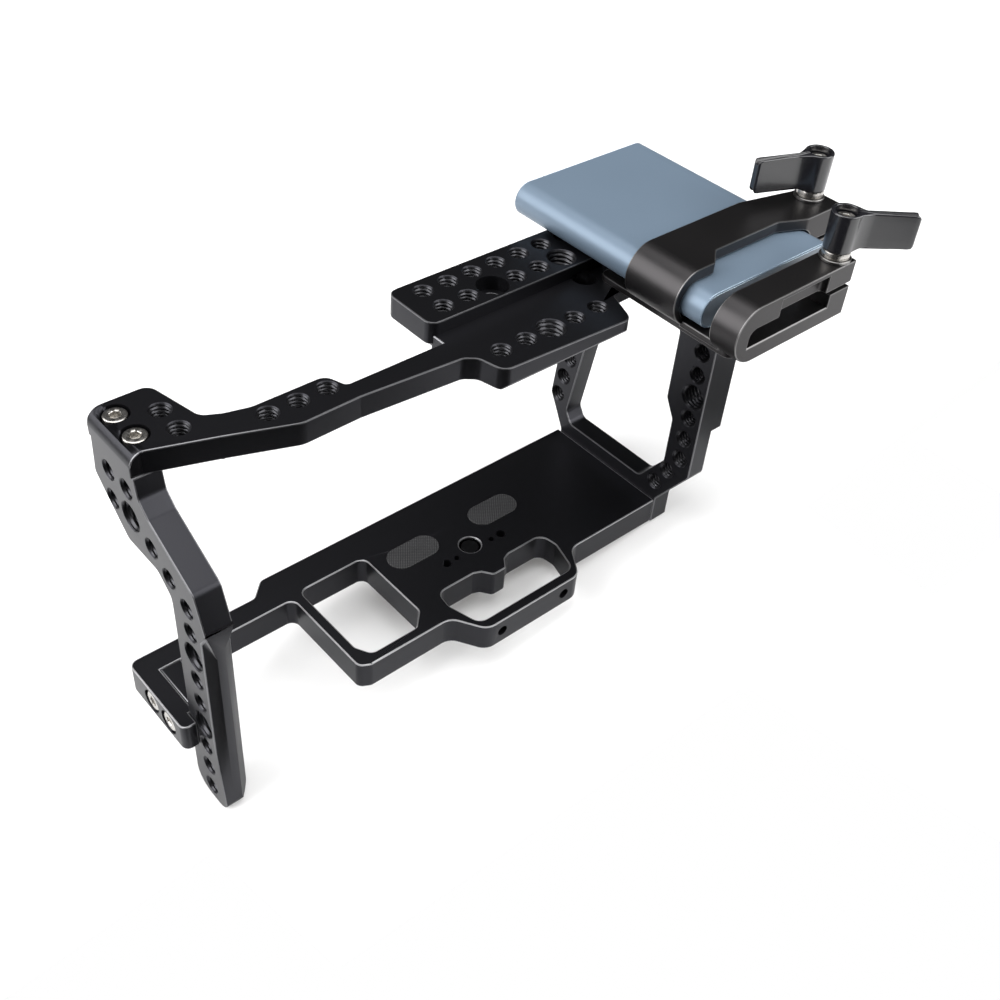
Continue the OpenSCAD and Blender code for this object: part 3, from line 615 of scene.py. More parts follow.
@dataclass(frozen=True)
class Bore:
    """One threaded hole: its mouth, the side that it faces, its depth and thread."""

    mouth: Place
    side: Side
    depth: float
    thread: Thread = SMALL
    lead: float = 0.35

    def rings(self) -> np.ndarray:
        """The thread as a closed sleeve whose back lies in the metal.

        The inner radius is R - d w(z) (1 - |2 frac(z / p - a / 2 pi) - 1|^1.3), where w(z) runs
        out to 0 within half a pitch of each end; the back is a plain tube just outside R.

        Returns:
            An array of shape (rows, columns, 3) in the pad's frame.
        """
        t = self.thread
        steps = int((self.depth - 2 * self.lead) / t.pitch * 8)
        z = np.linspace(-self.lead, -self.depth + self.lead, steps)[:, None]
        angle = np.arange(t.columns)[None, :] * TAU / t.columns
        wave = 1 - np.abs(2 * np.mod(z / t.pitch - angle / TAU, 1.0) - 1) ** 1.3
        ends = smooth_step(-z, self.lead, self.lead + 0.5 * t.pitch) \
            * smooth_step(z + self.depth, self.lead, self.lead + 0.5 * t.pitch)
        radius = t.root_r - 0.01 - t.depth * ends * wave
        inner = polar(radius, angle, z)
        back = lathe([(t.root_r + 0.12, -self.depth + self.lead + 0.02),
                      (t.root_r + 0.12, -self.lead - 0.02)], t.columns)
        return placed(np.concatenate([inner, back]), self.mouth, self.side)

    def rim(self) -> Rim:
        """The rim of its mouth."""
        return (self.mouth, self.side, self.thread.root_r)


def sleeve_piece(name: str, bores: Iterable[Bore]) -> bpy.types.Object:
    """Makes the threads of one plate as one piece.

    Args:
        name: the piece's name.
        bores: the plate's threaded holes.

    Returns:
        The piece.
    """
    draft = Draft()
    for bore in bores:
        draft.add_grid(bore.rings(), close_rows=True)
    return draft.piece(name, THREAD_PAINTED_SHADE, "frame", sharp_deg=60)


# ---------------------------------------------------------------- rows of screws and pins


@dataclass(frozen=True)
class Row:
    """Like screws or pins, one at each x with each y, in mm from the pad's corner."""

    xs: Sequence[float]
    ys: Sequence[float]
    z: float
    side: Side = Side.UP

    def places(self) -> list[Place]:
        """Where the undersides of their heads are."""
        return [(x, y, self.z) for x in self.xs for y in self.ys]

    def rims(self, *radii: float) -> list[Rim]:
        """The rims of their holes, which have these radii."""
        return [(place, self.side, r) for place in self.places() for r in radii]


# The bar's top, the seat of the screws in it, and the middle of the base plate.
BAR_Z, SEAT_Z, BASE_Z = -4.7, -8.7, -104.4
ARM_TOP = Row((-93.0,), (22.1, 11.1), SEAT_Z)
RING_TOP = Row((94.0,), (2.0, 14.0), SEAT_Z)
ARM_FOOT = Row((-100.75,), (5.7, -4.6), BASE_Z, Side.LEFT)
RING_FOOT = Row((94.0,), (-17.0, 14.0), BASE_Z, Side.RIGHT)
PLATE_ROW = Row((74.0, 87.0), (-7.9,), -2.5)
CLAMP_ROW = Row((96.45,), (-37.0, -29.5), 0.0)
ARM_PIN = Row((-94.5,), (16.6,), 0.0)
RING_PIN = Row((94.0,), (8.0,), 0.0)
BASE_PIN = Row((0.0,), (-1.5,), BASE_Z, Side.RIGHT)
# Radii of the holes: an M4 head's seat, M4 and M3 shanks, an M3 flat head and a pin.
HEAD_R, M4_R, M3_R, FLAT_R, PIN_R = 4.25, 2.0, 1.5, 2.8, 1.56
# The clamp's two studs.
REAR_AXIS, FRONT_AXIS = (135.1, -32.5), (110.1, -62.5)


# ---------------------------------------------------------------- machined plates


@dataclass(frozen=True)
class CornerFlat:
    """A flat milled along the lower part of an upright corner, in mm in the pad's frame.

    Its upper end rises towards the front and falls towards the inner side.
    """

    x: float
    y: float
    top: float
    width: float
    rise: float = 1.8
    fall: float = 6.0
    # How far the corner's edge may lie off (x, y), and how far below the top its end may be.
    slack: float = 0.3
    below: float = 1.0


def places_of(verts: Iterable[bmesh.types.BMVert]) -> np.ndarray:
    """Places of vertices in mm, in the pad's frame."""
    return np.array([v.co[:] for v in verts]) / MM - PAD_CORNER


@dataclass
class MachinedPlate:
    """A plate milled from the solid, with broken outer edges."""

    node: str
    finish: Finish = BLACK
    chamfer: float = 0.45
    body: str = "frame"
    rims: Sequence[Rim] = ()
    skip: Optional[Callable[[np.ndarray], bool]] = None
    # A lighter finish on the chamfer faces, which paints highlight lines along the edges.
    edge: Optional[Finish] = PAINTED_HIGHLIGHT_EDGE
    flat: Optional[CornerFlat] = None
    # Corners that move up, each with how far, so that a step becomes a slope.
    slides: Sequence[tuple[Place, float]] = ()
    # Points this near are one, facets this level are one face, a vertex this near to a rim is on
    # it, edges shorter or less convex than this stay sharp, and flatter ones are shaded smooth.
    merge: float = 0.003
    flat_deg: float = 0.6
    rim_slack: float = 0.6
    shortest: float = 0.05
    convex_deg: float = 28.0
    smooth_deg: float = 30.0

    def build(self) -> bpy.types.Object:
        """Copies the solid's mesh, merges its facets and breaks its outer edges.

        Returns:
            The piece that stands for the node.
        """
        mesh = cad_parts[self.node].data.copy()
        mesh.name = self.node + "_milled"
        work = bmesh.new()
        work.from_mesh(mesh)
        bmesh.ops.remove_doubles(work, verts=work.verts, dist=self.merge * MM)
        bmesh.ops.dissolve_limit(work, angle_limit=math.radians(self.flat_deg), verts=work.verts,
                                 edges=work.edges, use_dissolve_boundaries=False)
        if self.flat is not None:
            self._mill_flat(work, self.flat)
        work.verts.ensure_lookup_table()
        for place, rise in self.slides:
            nearest = np.abs(places_of(work.verts) - place).max(1).argmin()
            work.verts[int(nearest)].co.z += rise * MM
        work.verts.index_update()
        on_rim = self._on_rims(places_of(work.verts))
        weight = work.edges.layers.float.new("bevel_weight_edge")
        for edge in work.edges:
            edge[weight] = float(self._broken(edge, on_rim))
        work.to_mesh(mesh)
        work.free()
        return seat(self.node + "_milled", self._bevelled(mesh), self.finish, self.body,
                    self.smooth_deg, (self.node,), self.edge)

    def _on_rims(self, places: np.ndarray) -> np.ndarray:
        """Finds the points on the rims of the stated holes: |distance to axis - r| < slack.

        Args:
            places: points in the pad's frame, as an array of shape (n, 3).

        Returns:
            True or False for each point.
        """
        found = np.zeros(len(places), bool)
        for mouth, side, radius in self.rims:
            away = places - mouth
            off = away - np.outer(away @ side.value, side.value)
            found |= np.abs(np.linalg.norm(off, axis=1) - radius) < self.rim_slack
        return found

    def _mill_flat(self, work: bmesh.types.BMesh, flat: CornerFlat) -> None:
        """Replaces the lower part of an upright corner by a flat with a sloping run-out.

        Args:
            work: the plate's mesh, with its facets merged.
            flat: where the flat is.
        """
        edge = max((e for e in work.edges if self._on_corner(e, flat)),
                   key=lambda e: e.calc_length())
        heights = places_of(edge.verts)[:, 2]
        upper = edge.verts[int(heights.argmax())]
        _, split = bmesh.utils.edge_split(edge, upper, (heights.max() - flat.top) / np.ptp(heights))
        lower = min(split.link_edges, key=lambda e: e.other_vert(split).co.z)
        cut = bmesh.ops.bevel(work, geom=[lower], offset=flat.width * MM, segments=1,
                              offset_type="OFFSET", profile=0.5, affect="EDGES",
                              clamp_overlap=False)
        for vert, place in zip(cut["verts"], places_of(cut["verts"])):
            if place[2] < flat.top - flat.below:
                continue
            if place[0] - flat.x > flat.slack:
                vert.co.z -= flat.fall * MM
            elif place[1] - flat.y < flat.slack:
                vert.co.z += flat.rise * MM

    @staticmethod
    def _on_corner(edge: bmesh.types.BMEdge, flat: CornerFlat) -> bool:
        """Picks the corner's edge.

        Args:
            edge: any edge of the plate.
            flat: where the flat is.

        Returns:
            True where the edge lies on the corner and passes the top of the flat.
        """
        ends = places_of(edge.verts)
        off = np.abs(ends[:, :2] - (flat.x, flat.y)).max()
        return bool(off < flat.slack and ends[:, 2].min() < flat.top < ends[:, 2].max())

    def _bevelled(self, mesh: bpy.types.Mesh) -> bpy.types.Mesh:
        """Bevels the weighted edges; the new faces get material number 1.

        Args:
            mesh: the plate with a bevel weight on its edges.

        Returns:
            The new mesh.
        """
        mesh.materials.clear()
        mesh.polygons.foreach_set("material_index", np.zeros(len(mesh.polygons), np.int32))
        for _ in range(2):
            mesh.materials.append(None)
        blank = bpy.data.objects.new(self.node + "_blank", mesh)
        bpy.context.scene.collection.objects.link(blank)
        bevel = blank.modifiers.new("edges", "BEVEL")
        bevel.limit_method, bevel.offset_type = "WEIGHT", "OFFSET"
        bevel.width, bevel.segments, bevel.profile = self.chamfer * MM, 2, 0.55
        bevel.use_clamp_overlap = False
        bevel.material = 1
        graph = bpy.context.evaluated_depsgraph_get()
        done = bpy.data.meshes.new_from_object(blank.evaluated_get(graph))
        bpy.data.objects.remove(blank)
        return done

    def _broken(self, edge: bmesh.types.BMEdge, on_rim: np.ndarray) -> bool:
        """Picks the convex edges of the outline that aren't the rim of a hole.

        Args:
            edge: any edge of the plate.
            on_rim: whether each vertex lies on a rim.

        Returns:
            True where the edge is to be broken.
        """
        if len(edge.link_faces) != 2 or edge.calc_length() < self.shortest * MM:
            return False
        if edge.calc_face_angle_signed(0.0) < math.radians(self.convex_deg):
            return False
        if all(on_rim[v.index] for v in edge.verts):
            return False
        return self.skip is None or not self.skip(places_of(edge.verts))


# The seam of the top plate and the arm: its height, and where the arm's outer side begins.
SEAM_Z, OUTER_X = -12.7, -98.5
# The arm's lower column is in front of this Y and below this Z; its front is inside this X.
COLUMN_Y, COLUMN_Z, COLUMN_X = -26.2, -47.0, -98.3


def on_seam(ends: np.ndarray) -> bool:
    """True for an edge on the outer side of the seam between the top plate and the arm."""
    return bool((np.abs(ends[:, 2] - SEAM_Z) < 0.05).all() and (ends[:, 0] < OUTER_X).all())


def on_arm(ends: np.ndarray) -> bool:
    """True for an edge of the arm's seam, or a ridge in the front of its lower column."""
    ridge = (ends[:, 0] > COLUMN_X).all() and (ends[:, 1:] < (COLUMN_Y, COLUMN_Z)).all()
    return bool(ridge) or on_seam(ends)


@dataclass
class TopPlate:
    """The top plate with its raised pad, wing, bar and tab."""

    thick: float = 8.0
    pitch: float = 10.0
    pad_rows: tuple[float, float] = (16.5, 6.4)
    wing: tuple[float, float] = (13.8, -17.0)
    wing_pitch: float = 10.2
    bar: tuple[float, float] = (-39.501, -2.0)
    end_x: float = -82.368
    end_rows: tuple[float, float] = (16.5, 6.6)
    # The two holes without a thread.
    plain: tuple[Rim, ...] = (((30.0, 6.4, 0.0), Side.UP, 5.45), ((63.0, -2.2, 0.0), Side.UP, 4.25))

    def _bore(self, x: float, y: float, z: float, large: bool = False) -> Bore:
        """A thread through the plate, from above."""
        return Bore((x, y, z), Side.UP, self.thick, LARGE if large else SMALL)

    def bores(self) -> list[Bore]:
        """Lists the accessory threads.

        Returns:
            The pad's two rows, then those of the wing, the bar and the left end.
        """
        back, front = self.pad_rows
        found = [self._bore(i * self.pitch, back, 0.0) for i in range(1, 8)]
        found += [self._bore(i * self.pitch, front, 0.0) for i in (1, 2, 4, 5)]
        found.append(self._bore(6 * self.pitch, front, 0.0, True))
        x, y = self.wing
        found += [self._bore(x + i * self.wing_pitch, y, BAR_Z, i == 2) for i in range(5)]
        x, y = self.bar
        found += [self._bore(x - i * self.pitch, y, BAR_Z) for i in range(3)]
        return found + [self._bore(self.end_x, y, BAR_Z) for y in self.end_rows]

    def build(self) -> None:
        """Builds the milled plate and its threads."""
        bores = self.bores()
        rims = [b.rim() for b in bores] + [*self.plain] + ARM_TOP.rims(HEAD_R, M4_R)
        rims += RING_TOP.rims(HEAD_R, M4_R) + ARM_PIN.rims(PIN_R) + RING_PIN.rims(PIN_R)
        rims += PLATE_ROW.rims(M3_R)
        MachinedPlate("top_plate", rims=rims, skip=on_seam, edge=PAINTED_HIGHLIGHT_EDGE_SOFT).build()
        sleeve_piece("top_plate_threads", bores)


@dataclass
class LeftArm:
    """The crank-shaped arm with its column of threads; some places are shares of its size."""

    thick: float = 9.0
    inner_x: float = -90.0
    front: float = -27.0
    deep: float = 55.6
    low: float = -12.7
    high: float = 119.7
    upper: tuple[tuple[float, float], ...] = ((0.8255, -0.0593), (0.6457, -0.0593),
                                              (0.8291, -0.1495), (0.6475, -0.1462))
    slant: tuple[tuple[float, float], ...] = ((0.4604, -0.1813), (0.3094, -0.2247),
                                              (0.1583, -0.2682))
    column: tuple[float, float] = (0.1565, -0.3484)
    column_pitch: float = 0.08605
    flat_top: float = -54.0
    flat_w: float = 2.9
    # The upper corner of the inner chamfer, and how far up it moves.
    slope: tuple[float, float] = (-57.0, 7.0)

    def _bore(self, share: Sequence[float], large: bool = False) -> Bore:
        """A thread through the arm, from inside, at shares of its depth and height."""
        place = (self.inner_x, self.front + share[0] * self.deep, self.low + share[1] * self.high)
        return Bore(place, Side.RIGHT, self.thick, LARGE if large else SMALL)

    def bores(self) -> list[Bore]:
        """Lists the accessory threads.

        Returns:
            Those of the upper block, the slanting stretch and the column.
        """
        found = [self._bore(share, i == 3) for i, share in enumerate(self.upper)]
        found += [self._bore(share) for share in self.slant]
        y, z = self.column
        return found + [self._bore((y, z - i * self.column_pitch), i in (1, 4)) for i in range(8)]

    def build(self) -> None:
        """Builds the milled arm and its threads."""
        bores = self.bores()
        rims = [b.rim() for b in bores] + ARM_FOOT.rims(M4_R) + ARM_TOP.rims(M4_R)
        rims += ARM_PIN.rims(PIN_R)
        flat = CornerFlat(self.inner_x - self.thick, self.front, self.flat_top, self.flat_w)
        z, rise = self.slope
        MachinedPlate("left_arm", rims=rims, skip=on_arm, edge=PAINTED_HIGHLIGHT_EDGE_SOFT, flat=flat,
                      slides=[((self.inner_x, self.front, z), rise)]).build()
        sleeve_piece("left_arm_threads", bores)


@dataclass
class BasePlate:
    """The base plate with its openings, foot and front bar."""

    top: float = -99.0
    screw: tuple[float, float] = (18.3, -4.5)
    screw_r: float = 7.3
    slot_y: float = -6.8
    slot_holes: tuple[tuple[float, float], ...] = ((8.1, 1.1), (12.7, 1.75))
    front_hole: tuple[float, float] = (14.4, 2.0)
    # The pads' pockets: their middle from the screw in X, and in Y, with their half sizes.
    pocket_x: tuple[float, float] = (18.7, 11.0)
    pocket_y: tuple[float, float] = (4.8, 5.8)
    pocket_deep: float = 1.2

    def build(self) -> None:
        """Builds the milled base plate."""
        x, y = self.screw
        rims = [((x, y, 0.0), Side.UP, self.screw_r)]
        for off, r in self.slot_holes:
            rims += Row((x - off, x + off), (self.slot_y,), 0.0).rims(r)
        off, r = self.front_hole
        rims += Row((x - off, x + off), (0.0,), BASE_Z, Side.FRONT).rims(r)
        rims += ARM_FOOT.rims(HEAD_R, M4_R) + RING_FOOT.rims(HEAD_R, M4_R) + BASE_PIN.rims(PIN_R)
        MachinedPlate("base_plate", rims=rims, skip=self._pocket).build()

    def _pocket(self, ends: np.ndarray) -> bool:
        """Picks the edges of the pockets that hold the camera's pads.

        Args:
            ends: both ends of an edge.

        Returns:
            True for an edge of a pocket.
        """
        (x, half_x), (y, half_y) = self.pocket_x, self.pocket_y
        inside = (np.abs(np.abs(ends[:, 0] - self.screw[0]) - x) < half_x) \
            & (np.abs(ends[:, 1] - y) < half_y) & (ends[:, 2] > self.top - self.pocket_deep)
        return bool(inside.all())


@dataclass
class SideRing:
    """The ring round the camera's side doors."""

    inner_x: float = 90.0
    thick: float = 8.0
    post: float = 12.9
    pitch: float = 9.35
    column: tuple[float, float] = (-35.4, -26.8)
    bend: tuple[float, float] = (4.57, -8.5)
    slant: tuple[float, float] = (24.0, -63.8)
    slant_step: tuple[float, float] = (2.05, -9.4)

    def _bore(self, depth: float, y: float, z: float, large: bool = False) -> Bore:
        """A thread through the ring, from outside."""
        return Bore((self.inner_x + depth, y, z), Side.RIGHT, depth, LARGE if large else SMALL)

    def bores(self) -> list[Bore]:
        """Lists the accessory threads.

        Returns:
            Those of the front column, its bend and the slanting rear.
        """
        y, z = self.column
        found = [self._bore(self.post if i < 4 else self.thick, y, z - i * self.pitch, i == 2)
                 for i in range(6)]
        z -= 5 * self.pitch
        found += [self._bore(self.thick, y + i * self.bend[0], z + i * self.bend[1])
                  for i in (1, 2)]
        (y, z), (dy, dz) = self.slant, self.slant_step
        return found + [self._bore(self.thick, y + i * dy, z + i * dz) for i in range(-2, 3)]

    def build(self) -> None:
        """Builds the milled ring and its threads."""
        bores = self.bores()
        rims = [b.rim() for b in bores] + RING_FOOT.rims(HEAD_R, M4_R) + BASE_PIN.rims(PIN_R)
        rims += RING_TOP.rims(M4_R) + RING_PIN.rims(PIN_R) + CLAMP_ROW.rims(M3_R)
        MachinedPlate("side_ring", rims=rims, edge=PAINTED_HIGHLIGHT_EDGE_SOFT).build()
        sleeve_piece("side_ring_threads", bores)


# ---------------------------------------------------------------- screws


@dataclass(frozen=True)
class HeadSize:
    """A screw's head and shank in mm; flat heads sink into their seat."""

    shank_d: float
    head_d: float
    head_h: float
    key: float
    flat: bool = False


CAP_M4 = HeadSize(4.0, 7.0, 3.7, 3.0)
CAP_FOOT = HeadSize(4.0, 7.0, 2.95, 3.0)
CAP_LEVER = HeadSize(3.0, 6.2, 2.2, 2.5)
FLAT_M3 = HeadSize(3.0, 5.6, 1.6, 1.9, True)


def hexagon(angle: np.ndarray) -> np.ndarray:
    """Distance to a hexagon's side over its half width: 1 / cos(a mod 60 - 30)."""
    return 1 / np.cos(np.mod(angle, TAU / 6) - TAU / 12)


def screw_rings(size: HeadSize, length: float) -> np.ndarray:
    """Rings of a socket screw with its head's underside at zero, the shank running down.

    A ring is a circle, or in the socket a hexagon; between them each point slides along its ray.

    Args:
        size: the head and shank.
        length: the shank's length below the head's underside.

    Returns:
        An array of shape (rings, 60, 3), whose first and last rings are points.
    """
    r, s, k = size.head_d / 2, size.shank_d / 2 - 0.06, size.key / 2
    if size.flat:
        top, base = 0.0, [(s, -length + 0.3), (s, -size.head_h - 0.05), (r - 0.15, -0.15)]
    else:
        top = size.head_h
        base = [(s, -length + 0.3), (s, 0.0), (r - 0.12, 0.0), (r, 0.12), (r, top - 0.42),
                (r - 0.1, top - 0.16), (r - 0.3, top - 0.03)]
    deep = top - size.head_h / 2
    rings = [(0.0, -length), (s - 0.3, -length)] + base
    outer = len(rings)
    rings += [(r - 0.45, top), (k + 0.32, top), (k + 0.1, top - 0.1), (k, top - 0.3), (k, deep),
              (0.7 * k, deep - 0.02), (0.0, deep - 0.15)]
    last = outer + 4
    return lathe(rings, 60, lambda a, i: hexagon(a) if outer + 2 <= i <= last else np.ones_like(a))


@dataclass
class Screws:
    """A set of like screws in one node."""

    node: str
    size: HeadSize
    length: float
    row: Row
    body: str = "frame"
    spin: float = 0.3
    spin_step: float = 0.5

    def build(self) -> None:
        """Builds all screws of the set as one piece."""
        draft = Draft()
        for number, place in enumerate(self.row.places()):
            rings = screw_rings(self.size, self.length)
            turned = rings @ about_z(self.spin + self.spin_step * number)
            draft.add_grid(placed(turned, place, self.row.side))
        draft.piece(self.node + "_turned", STEEL, self.body, 32, (self.node,))


# ---------------------------------------------------------------- drive clamp


@dataclass
class DriveClamp:
    """The clamp of two split hooks, with its plate."""

    stud_hole_r: float = 2.56

    def build(self) -> None:
        """Builds the milled hooks and the plate under them."""
        rims = [((*axis, 0.0), Side.UP, self.stud_hole_r) for axis in (REAR_AXIS, FRONT_AXIS)]
        rims += CLAMP_ROW.rims(M3_R, FLAT_R)
        MachinedPlate("drive_clamp", BLACK_CLAMP, 0.4, rims=rims, edge=PAINTED_HIGHLIGHT_EDGE_CLAMP).build()
        rims = PLATE_ROW.rims(M3_R, FLAT_R) + CLAMP_ROW.rims(M3_R)
        MachinedPlate("clamp_plate", BLACK_CLAMP, 0.3, rims=rims, edge=PAINTED_HIGHLIGHT_EDGE_CLAMP).build()


@dataclass
class ClampLever:
    """One ratchet lever: hub, blade, screw, spring, washer and threaded stud."""

    side: str
    axis: tuple[float, float]
    blade_deg: float
    hook_top: float = 17.0
    lever_low: float = 3.4
    lever_h: float = 13.0
    hub_r: float = 4.9
    hub_share: float = 0.95
    blade_l: float = 23.4
    cavity_r: float = 3.75
    bore_r: float = 2.56
    web: float = 3.6
    stud_r: float = 2.5
    collar_r: float = 4.55
    spigot_top: float = 12.2
    washer_r: float = 5.15
    leave_deg: float = 48.0
    meet_x: float = 8.6
    fillet_reach: float = 4.2
    tip_r: float = 0.9
    rim_r: float = 0.5
    # Between these places along the blade its foot rises and its top sinks, by the next two.
    neck: tuple[float, float] = (3.0, 7.5)
    blade_low: float = 0.75
    blade_drop: float = 0.55
    end_r: float = 1.7

    def outline(self, hub_r: float) -> np.ndarray:
        """The lever's plan about its axis, blade along +X, as a closed loop.

        A circle arc round the hub runs by a cubic fillet into blade sides whose half width is
        w(x) = 1.15 + 0.55 ((x - 8) / (L - 8))^2, closed by a tip with rounded corners.

        Args:
            hub_r: the hub's radius at this height.

        Returns:
            An array of shape (n, 2).
        """
        leave, reach, corner = math.radians(self.leave_deg), self.fillet_reach, self.tip_r
        hub = polar(hub_r, np.linspace(math.pi, leave, 22)[:-1])
        start = polar(hub_r, leave)
        along = np.array([math.sin(leave), -math.cos(leave)])
        meet = np.array([self.meet_x, self._half(np.array(self.meet_x))])
        t = np.linspace(0, 1, 11)[:-1, None]
        fillet = ((2 * t**3 - 3 * t**2 + 1) * start + (t**3 - 2 * t**2 + t) * along * reach
                  + (-2 * t**3 + 3 * t**2) * meet + (t**3 - t**2) * np.array([reach, 0.0]))
        end = self.blade_l - corner
        x = np.linspace(self.meet_x, end, 13)
        flank = np.stack([x, self._half(x)], -1)
        tip = polar(corner, np.linspace(math.pi / 2, 0, 6)[1:]) \
            + (end, self._half(np.array(end)) - corner)
        upper = np.concatenate([hub, fillet, flank, tip])
        lower = upper[::-1][:-1] * (1.0, -1.0)
        return np.concatenate([upper, lower])

    def _half(self, x: np.ndarray) -> np.ndarray:
        """Half the blade's thickness at x."""
        return 1.15 + 0.55 * ((x - 8) / (self.blade_l - 8)) ** 2

    @staticmethod
    def _inset(loop: np.ndarray, by: float) -> np.ndarray:
        """Moves a closed loop inwards along its normals: each point plus its normal times by.

        Args:
            loop: points that run clockwise, as an array of shape (n, 2).
            by: how far they move.

        Returns:
            The moved points.
        """
        along = np.roll(loop, -1, 0) - np.roll(loop, 1, 0)
        along /= np.linalg.norm(along, axis=1, keepdims=True)
        inward = np.stack([along[:, 1], -along[:, 0]], -1)
        return loop + inward * by

    def _levels(self, x: np.ndarray) -> tuple[np.ndarray, np.ndarray]:
        """Finds the lever's foot and top, which step in at the neck by a smooth step.

        Over the last r of the blade both run in by r - sqrt(r r - run run), a quarter circle.

        Args:
            x: places along the blade.

        Returns:
            The lowest and the highest z over each x.
        """
        over, r = smooth_step(x, *self.neck), self.end_r
        low, high = self.blade_low * over, self.lever_h - self.blade_drop * over
        run = np.clip(x - (self.blade_l - r), 0, r)
        drop = r - np.sqrt(np.maximum(r * r - run * run, 0))
        return low + drop, high - drop * 0.75

    def rings(self) -> np.ndarray:
        """The lever as one closed surface of rings, from its bore out, up and back in.

        Ring k is the plan, moved inwards by i_k, at z = low + (high - low) f_k; the last rings
        are circles through the same rays that form the cavity, its floor and the bore.

        Returns:
            An array of shape (rings, n, 3) about the lever's own foot.
        """
        rows: list[np.ndarray] = []
        r = self.rim_r
        foot = self.outline(self.hub_r * self.hub_share)
        circle = polar(1.0, np.arctan2(foot[:, 1], foot[:, 0]))
        low, high = self._levels(foot[:, 0])

        def ring(loop: np.ndarray, z: Any) -> None:
            """Adds a loop at a height, or at a height for each point."""
            rows.append(np.column_stack([loop, np.broadcast_to(z, len(loop))]))

        ring(circle * (self.bore_r + 0.3), 0.0)
        for a in np.linspace(0, math.pi / 2, 4):
            ring(self._inset(foot, r * (1 - math.sin(a))), low + r * (1 - math.cos(a)))
        for f in (0.25, 0.5, 0.75):
            share = self.hub_share + (1 - self.hub_share) * f
            ring(self.outline(self.hub_r * share), low + r + (high - low - 2 * r) * f)
        head = self.outline(self.hub_r)
        for a in np.linspace(math.pi / 2, 0, 5):
            ring(self._inset(head, r * (1 - math.sin(a))), high - r * (1 - math.cos(a)))
        cavity, bore, web, top = self.cavity_r, self.bore_r, self.web, self.lever_h
        for radius, z in ((cavity + 0.22, top), (cavity + 0.05, top - 0.1), (cavity, top - 0.3),
                          (cavity, web + 0.2), (cavity - 0.2, web), (bore + 0.1, web),
                          (bore, web - 0.15), (bore, 0.3)):
            ring(circle * radius, z)
        return np.stack(rows)

    def _up(self, z: float) -> Place:
        """A place on the stud's axis, z above the clamp's top."""
        return (*self.axis, self.hook_top + z)

    def build(self) -> None:
        """Builds the lever and what turns with it."""
        turned = self.rings() @ about_z(math.radians(self.blade_deg))
        draft = Draft().add_grid(placed(turned, self._up(self.lever_low)), close_rows=True)
        draft.piece(self.side + "_lever_moulded", LEVER, self.side + "_lever_body", 50,
                    (self.side + "_lever",))
        self._washer()
        self._stud()
        self._spring()
        screw = Row(self.axis[:1], self.axis[1:], self.hook_top + self.spigot_top)
        Screws(self.side + "_lever_screw", CAP_LEVER, 6.0, screw,
               self.side + "_stud_body").build()

    def _washer(self) -> None:
        """Builds the thrust washer."""
        r, b = self.washer_r, self.bore_r
        rings = lathe([(b, 0.1), (b + 0.1, 0), (r - 0.15, 0), (r, 0.15), (r, 0.85),
                       (r - 0.15, 1.0), (b + 0.1, 1.0), (b, 0.9)], 56)
        draft = Draft().add_grid(placed(rings, self._up(0.0)), close_rows=True)
        draft.piece(self.side + "_washer_turned", WASHER, self.side + "_carrier", 30,
                    (self.side + "_washer",))

    def _stud(self) -> None:
        """Builds the stud with its grooved collar; the thread's radius is r - d |sin(pi z / p)|."""
        r, c, top = self.stud_r, self.collar_r, self.spigot_top
        z = np.linspace(-15.6, -0.2, 124)
        shank = np.stack([r - 0.42 * np.abs(np.sin(z * math.pi / 0.8)), z], -1)
        upper = [(r, 0.0), (r, 1.0), (c - 0.25, 1.0), (c, 1.22), (c, 1.55), (c - 0.22, 1.62),
                 (c - 0.22, 1.82), (c, 1.9), (c, 3.0), (c - 0.12, 3.22), (c - 0.3, 3.3), (r, 3.3),
                 (r, top - 0.2), (r - 0.2, top), (1.55, top), (1.5, top - 0.1), (1.5, top - 7.0),
                 (0.0, top - 7.6)]
        rings = lathe(np.concatenate([[(0.0, -16.0), (r - 0.5, -16.0)], shank, upper]))
        draft = Draft().add_grid(placed(rings, self._up(0.0)))
        draft.piece(self.side + "_stud_turned", STEEL, self.side + "_stud_body", 30,
                    (self.side + "_stud",))

    def _spring(self) -> None:
        """Builds the spring as a wire on a helix with closed coils at both ends.

        Its centre line is c(t) = (R cos a, R sin a, h(t)), and the wire's section lies in the
        plane through the axis: c + w (cos b out + sin b up).
        """
        low, high = self.lever_low + self.web, self.spigot_top
        wire, radius, turns = 0.26, 2.92, 5.5
        t = np.linspace(0, 1, int(turns * 26))
        rise = smooth_step(t, 0.08, 0.92) * 0.55 + t * 0.45
        a = (t * turns * TAU)[:, None]
        section = np.arange(10) * TAU / 10
        height = (low + wire + (high - low - 2 * wire) * rise)[:, None]
        tube = polar(radius + wire * np.cos(section), a, height + wire * np.sin(section))
        draft = Draft().add_grid(placed(tube, self._up(0.0)), caps=True)
        piece = draft.piece(self.side + "_lever_spring_coiled", SPRING, self.side + "_stud_body",
                            60, (self.side + "_lever_spring",))
        self.side + "_lever_lift"
        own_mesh(piece)


# ---------------------------------------------------------------- camera fittings


def stadium(l: float, w: float, inset: float, columns: int) -> np.ndarray:
    """A closed loop round a slot of length l and width w, moved in by an inset.

    It is two half circles of radius w / 2 - inset, joined by straight runs.

    Args:
        l: length over the round ends, along X.
        w: width, along Y.
        inset: how far inside the loop runs.
        columns: points in the loop, a multiple of 4.

    Returns:
        An array of shape (columns, 2).
    """
    r, half = w / 2 - inset, (l - w) / 2
    per = columns // 4
    right = polar(r, np.linspace(-math.pi / 2, math.pi / 2, per, endpoint=False)) + (half, 0)
    top = np.column_stack([np.linspace(half, -half, per, endpoint=False), np.full(per, r)])
    return np.concatenate([right, top, -right, -top])


